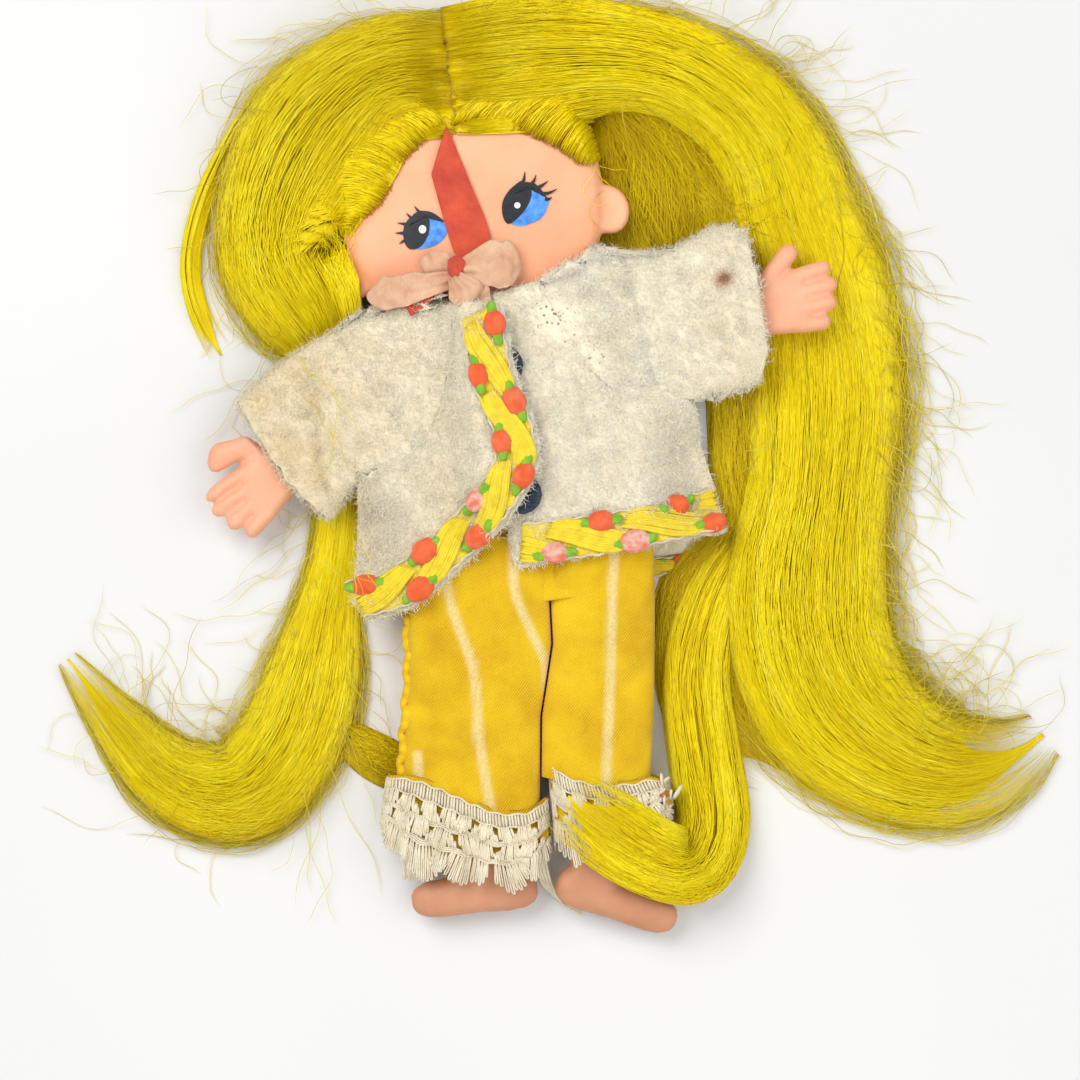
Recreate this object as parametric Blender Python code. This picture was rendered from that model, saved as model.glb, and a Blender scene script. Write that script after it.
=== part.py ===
"""Bendable flat doll, lying on its back: vinyl body over soft wires, jacket, trousers, ribbon and long hair.

The doll faces +Z with its head towards +Y. The origin is on the underside of the jacket's back.
Sizes below are millimetres; meshes are built in metres.
"""

import math

import bmesh
import bpy
from mathutils import Matrix, Vector

MM = 0.001

# Layers, from the surface that the doll lies on upwards
FLEECE = 1.4            # jacket cloth thickness
CLOTH = 0.6             # trouser cloth thickness
GAP = 0.3               # clearance between pieces that touch
BODY_THICK = 5.0        # vinyl trunk and legs, front to back
ARM_THICK = 4.0
ARM_LIFT = 0.8          # arms lie this much higher than the trunk, on the hair
WIRE = 1.0              # diameter of the soft wires
BORE_CLEAR = 0.25       # radial clearance of a wire in its bore

# Where the figure lies
NECK = (-4.3, 15.3)
TRUNK_LEAN = 8.0        # degrees, head end towards -X
HEAD_LEAN = 14.5
TRUNK_LENGTH = 40.7     # neck bend to hip bend
SHOULDER_RIGHT = (-17.6, 8.6)
SHOULDER_LEFT = (10.4, 13.2)
ARM_ANGLE_RIGHT = 214.5
ARM_ANGLE_LEFT = 14.0
HIP_ASIDE_RIGHT = 10.06  # hip bend's middle to the end of the trunk's axis
HIP_ASIDE_LEFT = 7.64
LEG_DROP = 1.5          # degrees, feet lower than hips

# Limbs
UPPER_ARM = 11.0        # shoulder bend to elbow bend
FOREARM = 11.0          # elbow bend to wrist
ARM_WIDTH = 8.4
WRIST_WIDTH = 7.0
THIGH = 18.0            # hip bend to knee bend
SHIN = 18.0             # knee bend to ankle
THIGH_WIDTH = 12.6
SHIN_WIDTH = 10.4
ANKLE_WIDTH = 8.6
STUB = 6.0              # length of trunk moulded along each limb before its bend
BEND_GAP = 0.3          # half of the slit at each bend
BEND_NOSE = 0.2         # half thickness of the vinyl's parting edge at a bend
BEND_SLOPE = 1.15       # length of a bend's flank for each millimetre it rises
WIRE_TIP_GAP = 0.15     # from a bend's axis to the tip of the wire
WIRE_TIP = 0.1          # radius of that tip
WIRE_TAPER = 0.75       # from a bend's axis to the wire's full size

# Trunk half widths
NECK_HALF = 4.0
SHOULDER_HALF = 9.8
CHEST_HALF = 11.0
WAIST_HALF = 9.8
HIP_HALF = 14.6

# Head
HEAD_HALF_WIDTH = 19.4
HEAD_HALF_HEIGHT = 19.8
CHIN_DROP = 1.2         # bend to chin
HEAD_RIM = 6.4          # thickness at the rim
HEAD_DOME = 1.3         # crown of the face above the rim
HAIR_UNDER_HEAD = 2.0
EAR_RADIUS = 3.6
EAR_DROP = 7.2          # below the middle of the head

# Hands and feet
PALM_LENGTH = 7.2
PALM_WIDTH = 9.2
FINGER = 5.6
FINGER_WIDTH = 2.5
THUMB = 6.2
THUMB_WIDTH = 2.9
HAND_THICK = 3.4
FOOT_LENGTH = 18.4
FOOT_DEPTH = 6.2
FOOT_DROP = 1.9         # ankle to the top of the foot
FOOT_ANGLE_RIGHT = 187.0
FOOT_ANGLE_LEFT = -19.0
HEEL_RIGHT = 9.1        # leg's middle to the end of the heel
HEEL_LEFT = 6.2

# Clothes
SLEEVE_CLEAR = 0.4
SEAM_GAP = 0.9          # between a front and the sleeve's shoulder, along the raglan seam
LEG_CLEAR = 0.4
SNAP_RADIUS = 2.9
SNAP_THICK = 0.5
SNAP_NUB = 1.0          # radius of the stud's nub
ARMPIT_RIGHT = -17.0    # along the trunk, from the neck bend
ARMPIT_LEFT = -12.0
TRIM_WIDTH = 5.0
TRIM_THICK = 0.7
TRIM_CLEAR = 0.65       # braid over the cloth's folds
SEAT_SHORT = 2.8        # trouser seat's lower edge to the hip bend
LEG_TOP = -2.4          # trouser leg's upper edge, from the hip bend
LACE = 0.6              # lace thickness with its loops
LACE_WAVE = 0.35        # depth of the lace's gathers
LACE_END = 37.3         # hip bend to the lace's lower edge
LACE_GATHERS = 8
RIBBON_WIDTH = 4.4
RIBBON = 0.4
LOOP = 0.25             # ribbon in the bow's loops
LOOP_HALF = 1.0         # half the height of a loop

# Hips worked out from the trunk
TRUNK_END = (NECK[0] + TRUNK_LENGTH * math.sin(math.radians(TRUNK_LEAN)),
             NECK[1] - TRUNK_LENGTH * math.cos(math.radians(TRUNK_LEAN)))
HIP_RIGHT = (TRUNK_END[0] - HIP_ASIDE_RIGHT, TRUNK_END[1])
HIP_LEFT = (TRUNK_END[0] + HIP_ASIDE_LEFT, TRUNK_END[1])

# Levels worked out from the layers
BODY_BACK = FLEECE + GAP + CLOTH + LEG_CLEAR
BODY_MID = BODY_BACK + BODY_THICK / 2
BODY_FRONT = BODY_BACK + BODY_THICK
ARM_MID = BODY_MID + ARM_LIFT
PANEL = BODY_FRONT + LEG_CLEAR + CLOTH + GAP
STUD = PANEL + FLEECE + GAP
SOCKET = STUD + SNAP_THICK + GAP
LAP = SOCKET + SNAP_THICK + GAP
HEAD_BACK = HAIR_UNDER_HEAD + GAP
FACE_RIM = HEAD_BACK + HEAD_RIM
SLEEVE_HALF_HEIGHT = ARM_THICK / 2 + SLEEVE_CLEAR + FLEECE
UNDER_SLEEVE = ARM_MID - SLEEVE_HALF_HEIGHT - GAP
SEAM = UNDER_SLEEVE + GAP


def material(name, colour, roughness, metallic=0.0):
    made = bpy.data.materials.new(name)
    made.use_nodes = True
    shader = made.node_tree.nodes["Principled BSDF"]
    shader.inputs["Base Color"].default_value = (*colour, 1.0)
    shader.inputs["Roughness"].default_value = roughness
    shader.inputs["Metallic"].default_value = metallic
    return made


def turn(angle):
    """Unit vector in the lying plane at an angle in degrees."""
    return Vector((math.cos(math.radians(angle)), math.sin(math.radians(angle)), 0.0))


def frame_empty(name, place, angle, height, pitch=0.0, parent=None):
    """Empty on a bend: local X along the limb, local Y along the bend."""
    empty = bpy.data.objects.new(name, None)
    empty.empty_display_size = 0.005
    bpy.context.collection.objects.link(empty)
    spin = Matrix.Rotation(math.radians(angle), 4, "Z") @ Matrix.Rotation(math.radians(pitch), 4, "Y")
    move = Matrix.Translation(Vector((place[0], place[1], height)) * MM)
    if parent is None:
        empty.matrix_world = move @ spin
    else:
        empty.parent = parent
        empty.location = Vector((place[0], place[1], height)) * MM
    bpy.context.view_layer.update()
    return empty


def mesh_object(name, points, faces, look, parent=None, cutter=False):
    mesh = bpy.data.meshes.new(name)
    work = bmesh.new()
    made = [work.verts.new(Vector(point) * MM) for point in points]
    for face in faces:
        work.faces.new([made[index] for index in face])
    bmesh.ops.recalc_face_normals(work, faces=work.faces)
    work.to_mesh(mesh)
    work.free()
    mesh.shade_smooth()
    mesh.set_sharp_from_angle(angle=math.radians(35))
    made_object = bpy.data.objects.new(name, mesh)
    bpy.context.collection.objects.link(made_object)
    if look is not None:
        mesh.materials.append(look)
    made_object.parent = parent
    if cutter:
        made_object.hide_render = True
        made_object.display_type = "WIRE"
    return made_object


def ring_faces(rows, count, closed_ends):
    """Faces that bridge rings of equal count, with filled ends if asked."""
    faces = []
    for row in range(rows - 1):
        for step in range(count):
            after = (step + 1) % count
            faces.append((row * count + step, row * count + after,
                          (row + 1) * count + after, (row + 1) * count + step))
    if closed_ends:
        faces.append(tuple(range(count)))
        faces.append(tuple((rows - 1) * count + step for step in range(count)))
    return faces


def loft(name, rings, look, parent=None, cutter=False):
    points = [point for ring in rings for point in ring]
    return mesh_object(name, points, ring_faces(len(rings), len(rings[0]), True), look, parent, cutter)


def shell(name, rings, thickness, look, parent=None):
    """Open tube of cloth through rings, with its thickness inwards."""
    points = [point for ring in rings for point in ring]
    made = mesh_object(name, points, ring_faces(len(rings), len(rings[0]), False), look, parent)
    solid = made.modifiers.new("cloth", "SOLIDIFY")
    solid.thickness = thickness * MM
    solid.offset = -1.0
    return made


def sheet(name, rows, thickness, look, parent=None):
    """Sheet of cloth over a grid of points, with its thickness upwards."""
    count = len(rows[0])
    under = [Vector(point) for row in rows for point in row]
    over = [point + Vector((0.0, 0.0, thickness)) for point in under]
    shift = len(under)
    faces = []
    for row in range(len(rows) - 1):
        for step in range(count - 1):
            quad = (row * count + step, row * count + step + 1,
                    (row + 1) * count + step + 1, (row + 1) * count + step)
            faces.append(quad[::-1])
            faces.append(tuple(index + shift for index in quad))
    last = (len(rows) - 1) * count
    border = list(range(count))
    border += [row * count + count - 1 for row in range(1, len(rows))]
    border += [last + step for step in range(count - 2, -1, -1)]
    border += [row * count for row in range(len(rows) - 2, 0, -1)]
    for step, index in enumerate(border):
        after = border[(step + 1) % len(border)]
        faces.append((index, after, after + shift, index + shift))
    return mesh_object(name, under + over, faces, look, parent)


def combine(target, other, operation):
    """Boolean of two meshes; the other mesh stays as a hidden guide."""
    step = target.modifiers.new(other.name, "BOOLEAN")
    step.operation = operation
    step.object = other
    step.solver = "EXACT"
    other.hide_render = True
    other.display_type = "WIRE"


def smooth_path(points, count):
    """Evenly spaced points on a smooth curve through rows of numbers; length is measured in the plane."""
    rows = [Vector(point) for point in points]
    fine = []
    parts = 16
    for index in range(len(rows) - 1):
        before = rows[max(index - 1, 0)]
        after = rows[min(index + 2, len(rows) - 1)]
        start = rows[index]
        end = rows[index + 1]
        for part in range(parts):
            share = part / parts
            fine.append(0.5 * ((2 * start) + (end - before) * share
                               + (2 * before - 5 * start + 4 * end - after) * share ** 2
                               + (3 * start - before - 3 * end + after) * share ** 3))
    fine.append(rows[-1])
    lengths = [0.0]
    for first, second in zip(fine, fine[1:]):
        lengths.append(lengths[-1] + (second - first).xy.length)
    result = []
    place = 0
    for step in range(count):
        goal = lengths[-1] * step / (count - 1)
        while place < len(fine) - 2 and lengths[place + 1] < goal:
            place += 1
        span = max(lengths[place + 1] - lengths[place], 1e-9)
        result.append(fine[place].lerp(fine[place + 1], min((goal - lengths[place]) / span, 1.0)))
    return result


def flat_section(half_width, half_thick, nose=BEND_NOSE):
    """Moulded section: flat front and back, edges sloped to a rounded parting line."""
    slope = half_thick - nose
    quarter = [(half_width, nose * 0.5), (half_width - slope * 0.18, nose + slope * 0.42),
               (half_width - slope * 0.55, nose + slope * 0.82), (half_width - slope * 1.1, half_thick)]
    top = quarter + [(-across, up) for across, up in reversed(quarter)]
    return top + [(-across, -up) for across, up in top]


def limb(name, stations, look, parent, middle=0.0, cutter=False):
    """Flat moulded limb along local X; stations are (distance, half width, half thickness)."""
    rings = []
    for along, half_width, half_thick in stations:
        rings.append([(along, across, middle + up) for across, up in flat_section(half_width, half_thick)])
    return loft(name, rings, look, parent, cutter)


def bend_end(along, inward, half_width, half_thick):
    """Two stations of a bend: a thin nose at the slit and full thickness behind its slope."""
    slope = half_thick - BEND_NOSE
    nose = (along + inward * BEND_GAP, half_width - slope * 0.2, BEND_NOSE + 0.05)
    full = (along + inward * (BEND_GAP + BEND_SLOPE * slope), half_width, half_thick)
    return [nose, full]


def wire_path(points, radius, parent, name, look=None, tips=(True, True)):
    """Round wire through points, drawn to a point where it meets the next wire at a bend."""
    sides = 8
    route = [Vector(point) for point in points]
    rings = []
    for index, point in enumerate(route):
        ahead = route[min(index + 1, len(route) - 1)] - route[max(index - 1, 0)]
        ahead.normalize()
        across = ahead.cross(Vector((0.0, 0.0, 1.0))).normalized()
        up = across.cross(ahead)
        size = radius
        if (index == 0 and tips[0]) or (index == len(route) - 1 and tips[1]):
            size = WIRE_TIP
        rings.append([point + size * (math.cos(math.tau * side / sides) * across
                                      + math.sin(math.tau * side / sides) * up) for side in range(sides)])
    return loft(name, rings, look, parent, cutter=look is None)


def wire_and_bore(name, points, owner, parent, tips=(True, True), reach=(1.0, 1.0)):
    """A wire, and its bore through the vinyl that holds it; reach is how far the bore runs past each end."""
    route = [Vector(point) for point in points]
    first = (route[1] - route[0]).normalized()
    last = (route[-1] - route[-2]).normalized()
    drawn = list(route)
    if tips[0]:
        drawn = [route[0] + first * WIRE_TIP_GAP, route[0] + first * WIRE_TAPER] + drawn[1:]
    if tips[1]:
        drawn = drawn[:-1] + [route[-1] - last * WIRE_TAPER, route[-1] - last * WIRE_TIP_GAP]
    wire_path(drawn, WIRE / 2, parent, name, STEEL, tips)
    bore = [route[0] - first * reach[0]] + route[1:-1] + [route[-1] + last * reach[1]]
    cutter = wire_path(bore, WIRE / 2 + BORE_CLEAR, parent, name + "_bore", None, (False, False))
    combine(owner, cutter, "DIFFERENCE")


def head_radius(angle):
    """Outline of the head in its own plane: a soft oval, a little squarer at the cheeks."""
    power = 2.25
    across = abs(math.cos(angle)) / HEAD_HALF_WIDTH
    along = abs(math.sin(angle)) / HEAD_HALF_HEIGHT
    return (across ** power + along ** power) ** (-1.0 / power)


def face_level(share):
    return FACE_RIM + HEAD_DOME * (1.0 - share ** 2)


def head_mesh(name, look, parent, swell=0.0, cutter=False):
    """Flat head with a crowned face, round its rim; swell grows it evenly."""
    sides = 40
    back = HEAD_BACK - BODY_MID
    rim = FACE_RIM - BODY_MID
    profile = [(0.5, back), (0.88, back + 0.1), (0.965, back + 1.0), (1.0, back + HEAD_RIM * 0.42),
               (0.985, rim - 1.5), (0.94, rim - 0.3)]
    profile += [(share, face_level(share) - BODY_MID) for share in (0.84, 0.6, 0.3)]
    middle = CHIN_DROP + HEAD_HALF_HEIGHT
    centre = sum(level for share, level in profile) / len(profile)
    points = []
    for share, level in profile:
        grown = level + math.copysign(swell, level - centre)
        for side in range(sides):
            angle = math.tau * side / sides
            reach = head_radius(angle) * share + swell * (1.0 if share > 0.9 else share)
            points.append((reach * math.cos(angle), middle + reach * math.sin(angle), grown))
    return mesh_object(name, points, ring_faces(len(profile), sides, True), look, parent, cutter)


def lens_ring(place, ahead, width, height, base, steps=8):
    """Section of a hair lock: flat below, crowned and a little ridged above."""
    across = Vector((-ahead.y, ahead.x, 0.0))
    ring = []
    for step in range(steps + 1):
        angle = math.pi * step / steps
        ridge = 1.0 + 0.06 * math.cos(6 * angle)
        level = base + max(height * math.sin(angle) ** 0.75 * ridge, 0.0)
        ring.append(Vector((place.x, place.y, level)) + across * (width / 2 * math.cos(angle)))
    return ring


def lock(names, stations, counts, parent=None):
    """Hair along (x, y, width, height, base) stations, cut across into the named locks."""
    rows = smooth_path(stations, sum(counts) + 1)
    pieces = []
    first = 0
    for name, count in zip(names, counts):
        rings = []
        for index in range(first, first + count + 1):
            row = rows[index]
            ahead = rows[min(index + 1, len(rows) - 1)].xy - rows[max(index - 1, 0)].xy
            ahead.normalize()
            place = row.xy
            if index == first and first > 0:
                place = place + ahead * GAP
            rings.append(lens_ring(place, ahead, row[2], row[3], row[4]))
        pieces.append(loft(name, rings, HAIR, parent))
        first += count
    return pieces


def make_trunk():
    """Trunk with the roots of neck, arms and legs moulded on, and the wires that cross it."""
    thick = BODY_THICK / 2
    end = TRUNK_LENGTH - STUB + 1.0
    stations = [(-BEND_GAP, NECK_HALF, BEND_NOSE + 0.05),
                (-BEND_GAP - BEND_SLOPE * (thick - BEND_NOSE), NECK_HALF + 0.6, thick),
                (-3.4, SHOULDER_HALF - 2.5, thick), (-4.6, SHOULDER_HALF, thick), (-9.6, CHEST_HALF, thick),
                (-0.46 * TRUNK_LENGTH, WAIST_HALF, thick), (-0.7 * TRUNK_LENGTH, HIP_HALF - 1.2, thick),
                (-end, HIP_HALF, thick), (-end - 1.5, HIP_HALF - 1.0, thick - 0.6)]
    trunk = limb("torso", stations, VINYL, NECK_FRAME)
    half_arm = ARM_THICK / 2
    for frame in (SHOULDER_FRAMES["right"], SHOULDER_FRAMES["left"]):
        ends = bend_end(0.0, -1.0, ARM_WIDTH / 2, half_arm)
        root = [(-STUB - 1.2, ARM_WIDTH / 2 - 1.8, half_arm), (-STUB + 0.6, ARM_WIDTH / 2 - 0.6, half_arm)]
        root += ends[::-1]
        combine(trunk, limb(frame.name + "_root", root, None, frame, cutter=True), "UNION")
    for frame in (HIP_FRAMES["right"], HIP_FRAMES["left"]):
        ends = bend_end(0.0, -1.0, THIGH_WIDTH / 2, thick)
        root = [(-STUB - 2.5, THIGH_WIDTH / 2 - 1.2, thick - 0.1), ends[1], ends[0]]
        combine(trunk, limb(frame.name + "_root", root, None, frame, cutter=True), "UNION")
    return trunk


def world_point(frame, local):
    return (frame.matrix_world @ (Vector(local) * MM)) / MM


def trunk_wires(trunk):
    right, left = SHOULDER_FRAMES["right"], SHOULDER_FRAMES["left"]
    yoke = [world_point(right, (0, 0, 0)), world_point(right, (-STUB, 0, 0)),
            (world_point(NECK_FRAME, (-10.5, 0, 0)) + Vector((0, 0, ARM_LIFT / 2))),
            world_point(left, (-STUB, 0, 0)), world_point(left, (0, 0, 0))]
    wire_and_bore("arm_wire_yoke", yoke, trunk, None)
    right, left = HIP_FRAMES["right"], HIP_FRAMES["left"]
    arch = [world_point(right, (0, 0, 0)), world_point(right, (-STUB, 0, 0)),
            world_point(right, (-STUB - 4.0, 2.0, 0)), world_point(NECK_FRAME, (-TRUNK_LENGTH + 14.0, 0, 0)),
            world_point(left, (-STUB - 4.0, -2.0, 0)),
            world_point(left, (-STUB, 0, 0)), world_point(left, (0, 0, 0))]
    wire_and_bore("leg_wire_arch", arch, trunk, None)
    wire_and_bore("neck_wire", [(0, 0, 0), (-4.0, 0, 0), (-8.6, 0, 0)], trunk, NECK_FRAME,
                  tips=(True, False), reach=(1.0, 0.3))


def make_arm(side, hand_side):
    """Upper arm, forearm and hand of one side; hand_side is +1 where the thumb is towards local +Y."""
    half = ARM_WIDTH / 2
    thick = ARM_THICK / 2
    shoulder, elbow = SHOULDER_FRAMES[side], ELBOW_FRAMES[side]
    near = bend_end(0.0, 1.0, half, thick)
    far = bend_end(UPPER_ARM, -1.0, half, thick)
    upper = limb("upper_arm_" + side, near + far[::-1], VINYL, shoulder)
    wire_and_bore("upper_arm_wire_" + side, [(0, 0, 0), (UPPER_ARM / 2, 0, 0), (UPPER_ARM, 0, 0)],
                  upper, shoulder)
    near = bend_end(0.0, 1.0, half, thick)
    stations = near + [(FOREARM - 2.0, WRIST_WIDTH / 2 + 0.3, thick),
                       (FOREARM + 0.8, WRIST_WIDTH / 2, thick - 0.2)]
    lower = limb("forearm_" + side, stations, VINYL, elbow)
    palm = [(FOREARM - 1.0, WRIST_WIDTH / 2 - 0.4, HAND_THICK / 2 - 0.2),
            (FOREARM + 1.5, PALM_WIDTH / 2 - 0.8, HAND_THICK / 2),
            (FOREARM + PALM_LENGTH - 1.0, PALM_WIDTH / 2, HAND_THICK / 2),
            (FOREARM + PALM_LENGTH + 0.4, PALM_WIDTH / 2 - 0.3, HAND_THICK / 2 - 0.3)]
    combine(lower, limb("palm_" + side, palm, None, elbow, cutter=True), "UNION")
    pitch = (PALM_WIDTH - FINGER_WIDTH) / 3
    shortening = (0.4, 0.0, 0.7, 2.2)
    for index in range(4):
        across = hand_side * (PALM_WIDTH / 2 - FINGER_WIDTH / 2 - index * pitch)
        lean = hand_side * 0.06 * (1.5 - index)
        tip = FOREARM + PALM_LENGTH + FINGER - shortening[index]
        finger = capsule("finger_%d_%s" % (index, side), (FOREARM + PALM_LENGTH - 2.2, across, 0.0),
                         (tip, across + lean * FINGER, 0.0), FINGER_WIDTH / 2, HAND_THICK / 2 - 0.1, elbow)
        combine(lower, finger, "UNION")
    root = (FOREARM + 1.8, hand_side * (PALM_WIDTH / 2 - 1.6), 0.0)
    tip = (FOREARM + 1.8 + THUMB, hand_side * (PALM_WIDTH / 2 + 3.4), 0.0)
    thumb = capsule("thumb_" + side, root, tip, THUMB_WIDTH / 2, HAND_THICK / 2 - 0.15, elbow)
    combine(lower, thumb, "UNION")
    wire_and_bore("forearm_wire_" + side, [(0, 0, 0), (FOREARM / 2, 0, 0), (FOREARM + PALM_LENGTH / 2, 0, 0)],
                  lower, elbow, tips=(True, False), reach=(1.0, 0.3))


def capsule(name, start, end, half_width, half_thick, parent):
    """Round-ended finger or toe shape between two points in the limb's plane."""
    sides = 10
    first, last = Vector(start), Vector(end)
    ahead = (last - first).normalized()
    across = Vector((-ahead.y, ahead.x, 0.0))
    length = (last - first).length
    rings = []
    for along, share in ((0.0, 0.55), (half_width * 0.5, 0.9), (half_width, 1.0), (length - half_width, 1.0),
                         (length - half_width * 0.35, 0.76), (length - half_width * 0.05, 0.3)):
        rings.append([first + ahead * along + share * (
            across * (half_width * math.cos(math.tau * side / sides))
            + Vector((0.0, 0.0, half_thick * math.sin(math.tau * side / sides)))) for side in range(sides)])
    return loft(name, rings, None, parent, cutter=True)


def make_leg(side, foot_angle, heel_reach):
    half = THIGH_WIDTH / 2
    thick = BODY_THICK / 2
    hip, knee = HIP_FRAMES[side], KNEE_FRAMES[side]
    near = bend_end(0.0, 1.0, half, thick)
    far = bend_end(THIGH, -1.0, SHIN_WIDTH / 2 + 0.4, thick)
    thigh = limb("thigh_" + side, near + far[::-1], VINYL, hip)
    wire_and_bore("thigh_wire_" + side, [(0, 0, 0), (THIGH / 2, 0, 0), (THIGH, 0, 0)], thigh, hip)
    near = bend_end(0.0, 1.0, SHIN_WIDTH / 2, thick)
    stations = near + [(SHIN * 0.6, SHIN_WIDTH / 2 - 0.6, thick), (SHIN - 2.0, ANKLE_WIDTH / 2, thick - 0.3),
                       (SHIN + FOOT_DROP + 2.0, ANKLE_WIDTH / 2 - 0.6, thick - 0.5)]
    shin = limb("shin_" + side, stations, VINYL, knee)
    heading = math.radians(foot_angle + 90.0)
    ahead = Vector((math.cos(heading), math.sin(heading), 0.0))
    ankle = Vector((SHIN + FOOT_DEPTH / 2 + FOOT_DROP, 0.0, 0.0))
    heel = ankle - ahead * heel_reach
    toe = heel + ahead * FOOT_LENGTH
    across = Vector((-ahead.y, ahead.x, 0.0))
    rings = []
    sides = 14
    for share, swell in ((0.0, 0.35), (0.03, 0.68), (0.1, 0.92), (0.24, 1.0), (0.5, 0.9), (0.74, 0.93),
                         (0.88, 0.86), (0.965, 0.62), (1.0, 0.3)):
        centre = heel.lerp(toe, share)
        rings.append([centre + across * (FOOT_DEPTH / 2 * swell * math.cos(math.tau * step / sides))
                      + Vector((0, 0, (thick - 0.1 - 0.7 * share) * min(1.0, swell + 0.1)
                                * math.sin(math.tau * step / sides))) for step in range(sides)])
    foot = loft("foot_" + side, rings, None, knee, cutter=True)
    combine(shin, foot, "UNION")
    wire_and_bore("shin_wire_" + side, [(0, 0, 0), (SHIN / 2, 0, 0), (SHIN + 1.5, 0, 0)], shin, knee,
                  tips=(True, False), reach=(1.0, 0.3))


def make_head():
    head = head_mesh("head", VINYL, HEAD_FRAME)
    thick = BODY_THICK / 2 - 0.2
    middle = CHIN_DROP + HEAD_HALF_HEIGHT
    for side in (-1.0, 1.0):
        rings = []
        for share, level in ((0.7, -1.7), (1.0, -0.9), (1.0, 0.9), (0.8, 1.6), (0.5, 1.3)):
            ring = []
            for step in range(16):
                angle = math.tau * step / 16
                ring.append((side * (HEAD_HALF_WIDTH - 0.4) + EAR_RADIUS * 0.85 * share * math.cos(angle),
                             middle - EAR_DROP + EAR_RADIUS * share * math.sin(angle), level + 0.6))
            rings.append(ring)
        combine(head, loft("ear", rings, None, HEAD_FRAME, cutter=True), "UNION")
    ends = bend_end(0.0, 1.0, NECK_HALF, thick)
    stations = ends + [(CHIN_DROP + 4.0, NECK_HALF + 1.0, thick)]
    turned = [(-along, wide, deep) for along, wide, deep in stations]
    stub = limb("neck_root", turned, None, HEAD_STUB, cutter=True)
    combine(head, stub, "UNION")
    wire_and_bore("head_wire", [(0, 0, 0), (-6.0, 0, 0), (-middle, 0, 0)], head, HEAD_STUB,
                  tips=(True, False), reach=(1.0, 0.3))


def ease(share):
    share = min(max(share, 0.0), 1.0)
    return share * share * (3 - 2 * share)


def panel_level(place, lap):
    """Underside of a jacket front: flat over trunk and arm, falling to the side seam below the armpit,
    raised at the lap."""
    local = NECK_FRAME.matrix_world.inverted() @ (Vector((place[0], place[1], 0.0)) * MM) / MM
    armpit = ARMPIT_RIGHT if lap else ARMPIT_LEFT
    fall = ease((abs(local.y) - HIP_HALF - 1.0) / 9.0) * ease((armpit - local.x) / 8.0)
    fall *= 1.0 - 0.75 * ease((-local.x - 0.66 * TRUNK_LENGTH) / 6.0)
    rise = ease((10.0 - local.y) / 5.0) if lap else 0.0
    return PANEL + (SEAM - PANEL) * fall + (LAP - PANEL) * rise


def front_panel(name, side_points, centre_points, lap):
    rows = 19
    sides = smooth_path([(*point, 0.0) for point in side_points], rows)
    centres = smooth_path([(*point, 0.0) for point in centre_points], rows)
    grid = []
    columns = 11
    for side, centre in zip(sides, centres):
        row = []
        for step in range(columns):
            place = side.lerp(centre, step / (columns - 1))
            row.append((place.x, place.y, panel_level(place, lap)))
        grid.append(row)
    return sheet(name, grid, FLEECE, FLEECE_LOOK)


def edge_trim(name, edge, inward_to, lap):
    """Braid along a jacket edge, lying on the cloth; inward_to gives the way towards the cloth."""
    count = 17
    outer = smooth_path([(*point, 0.0) for point in edge], count)
    inner = smooth_path([(*point, 0.0) for point in inward_to], count)
    rows = []
    for first, second in zip(outer, inner):
        way = (second - first).normalized()
        row = []
        for step in range(4):
            place = first + way * (0.4 + TRIM_WIDTH * step / 3)
            crown = 0.18 if step in (1, 2) else 0.0
            row.append((place.x, place.y, panel_level(place, lap) + FLEECE + TRIM_CLEAR + crown))
        rows.append(row)
    return sheet(name, rows, TRIM_THICK, TRIM_LOOK)


RIGHT_SEAM = [(-10.6, 16.6), (-12.3, 11.0), (-13.2, 5.5), (-16.5, -0.5), (-24.6, -5.2)]
RIGHT_ARMHOLE = [(-25.2, 14.4), (-25.6, 10.0), (-26.0, 6.0), (-26.6, 0.5), (-27.4, -4.4)]
RIGHT_SIDE = RIGHT_SEAM + [(-25.8, -16.0), (-25.9, -22.6)]
RIGHT_EDGE = [(-9.8, 15.4), (-5.0, 12.6), (-2.9, 6.5), (-1.2, 1.5), (-0.7, -3.6), (-1.6, -7.3),
              (-5.4, -11.4), (-11.6, -17.0), (-18.1, -22.2), (-24.0, -24.9)]
LEFT_SEAM = [(3.4, 17.8), (5.6, 14.0), (7.6, 10.0), (12.6, 6.2), (22.2, 5.6)]
LEFT_ARMHOLE = [(13.8, 26.6), (16.0, 21.6), (18.4, 16.6), (21.0, 11.6), (24.6, 7.8)]
LEFT_SIDE = LEFT_SEAM + [(24.8, -2.9), (27.2, -13.4)]
LEFT_EDGE = [(2.8, 17.4), (-2.2, 13.6), (-7.4, 8.0), (-7.8, 0.0), (-5.4, -9.0), (-2.4, -18.6)]


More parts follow.
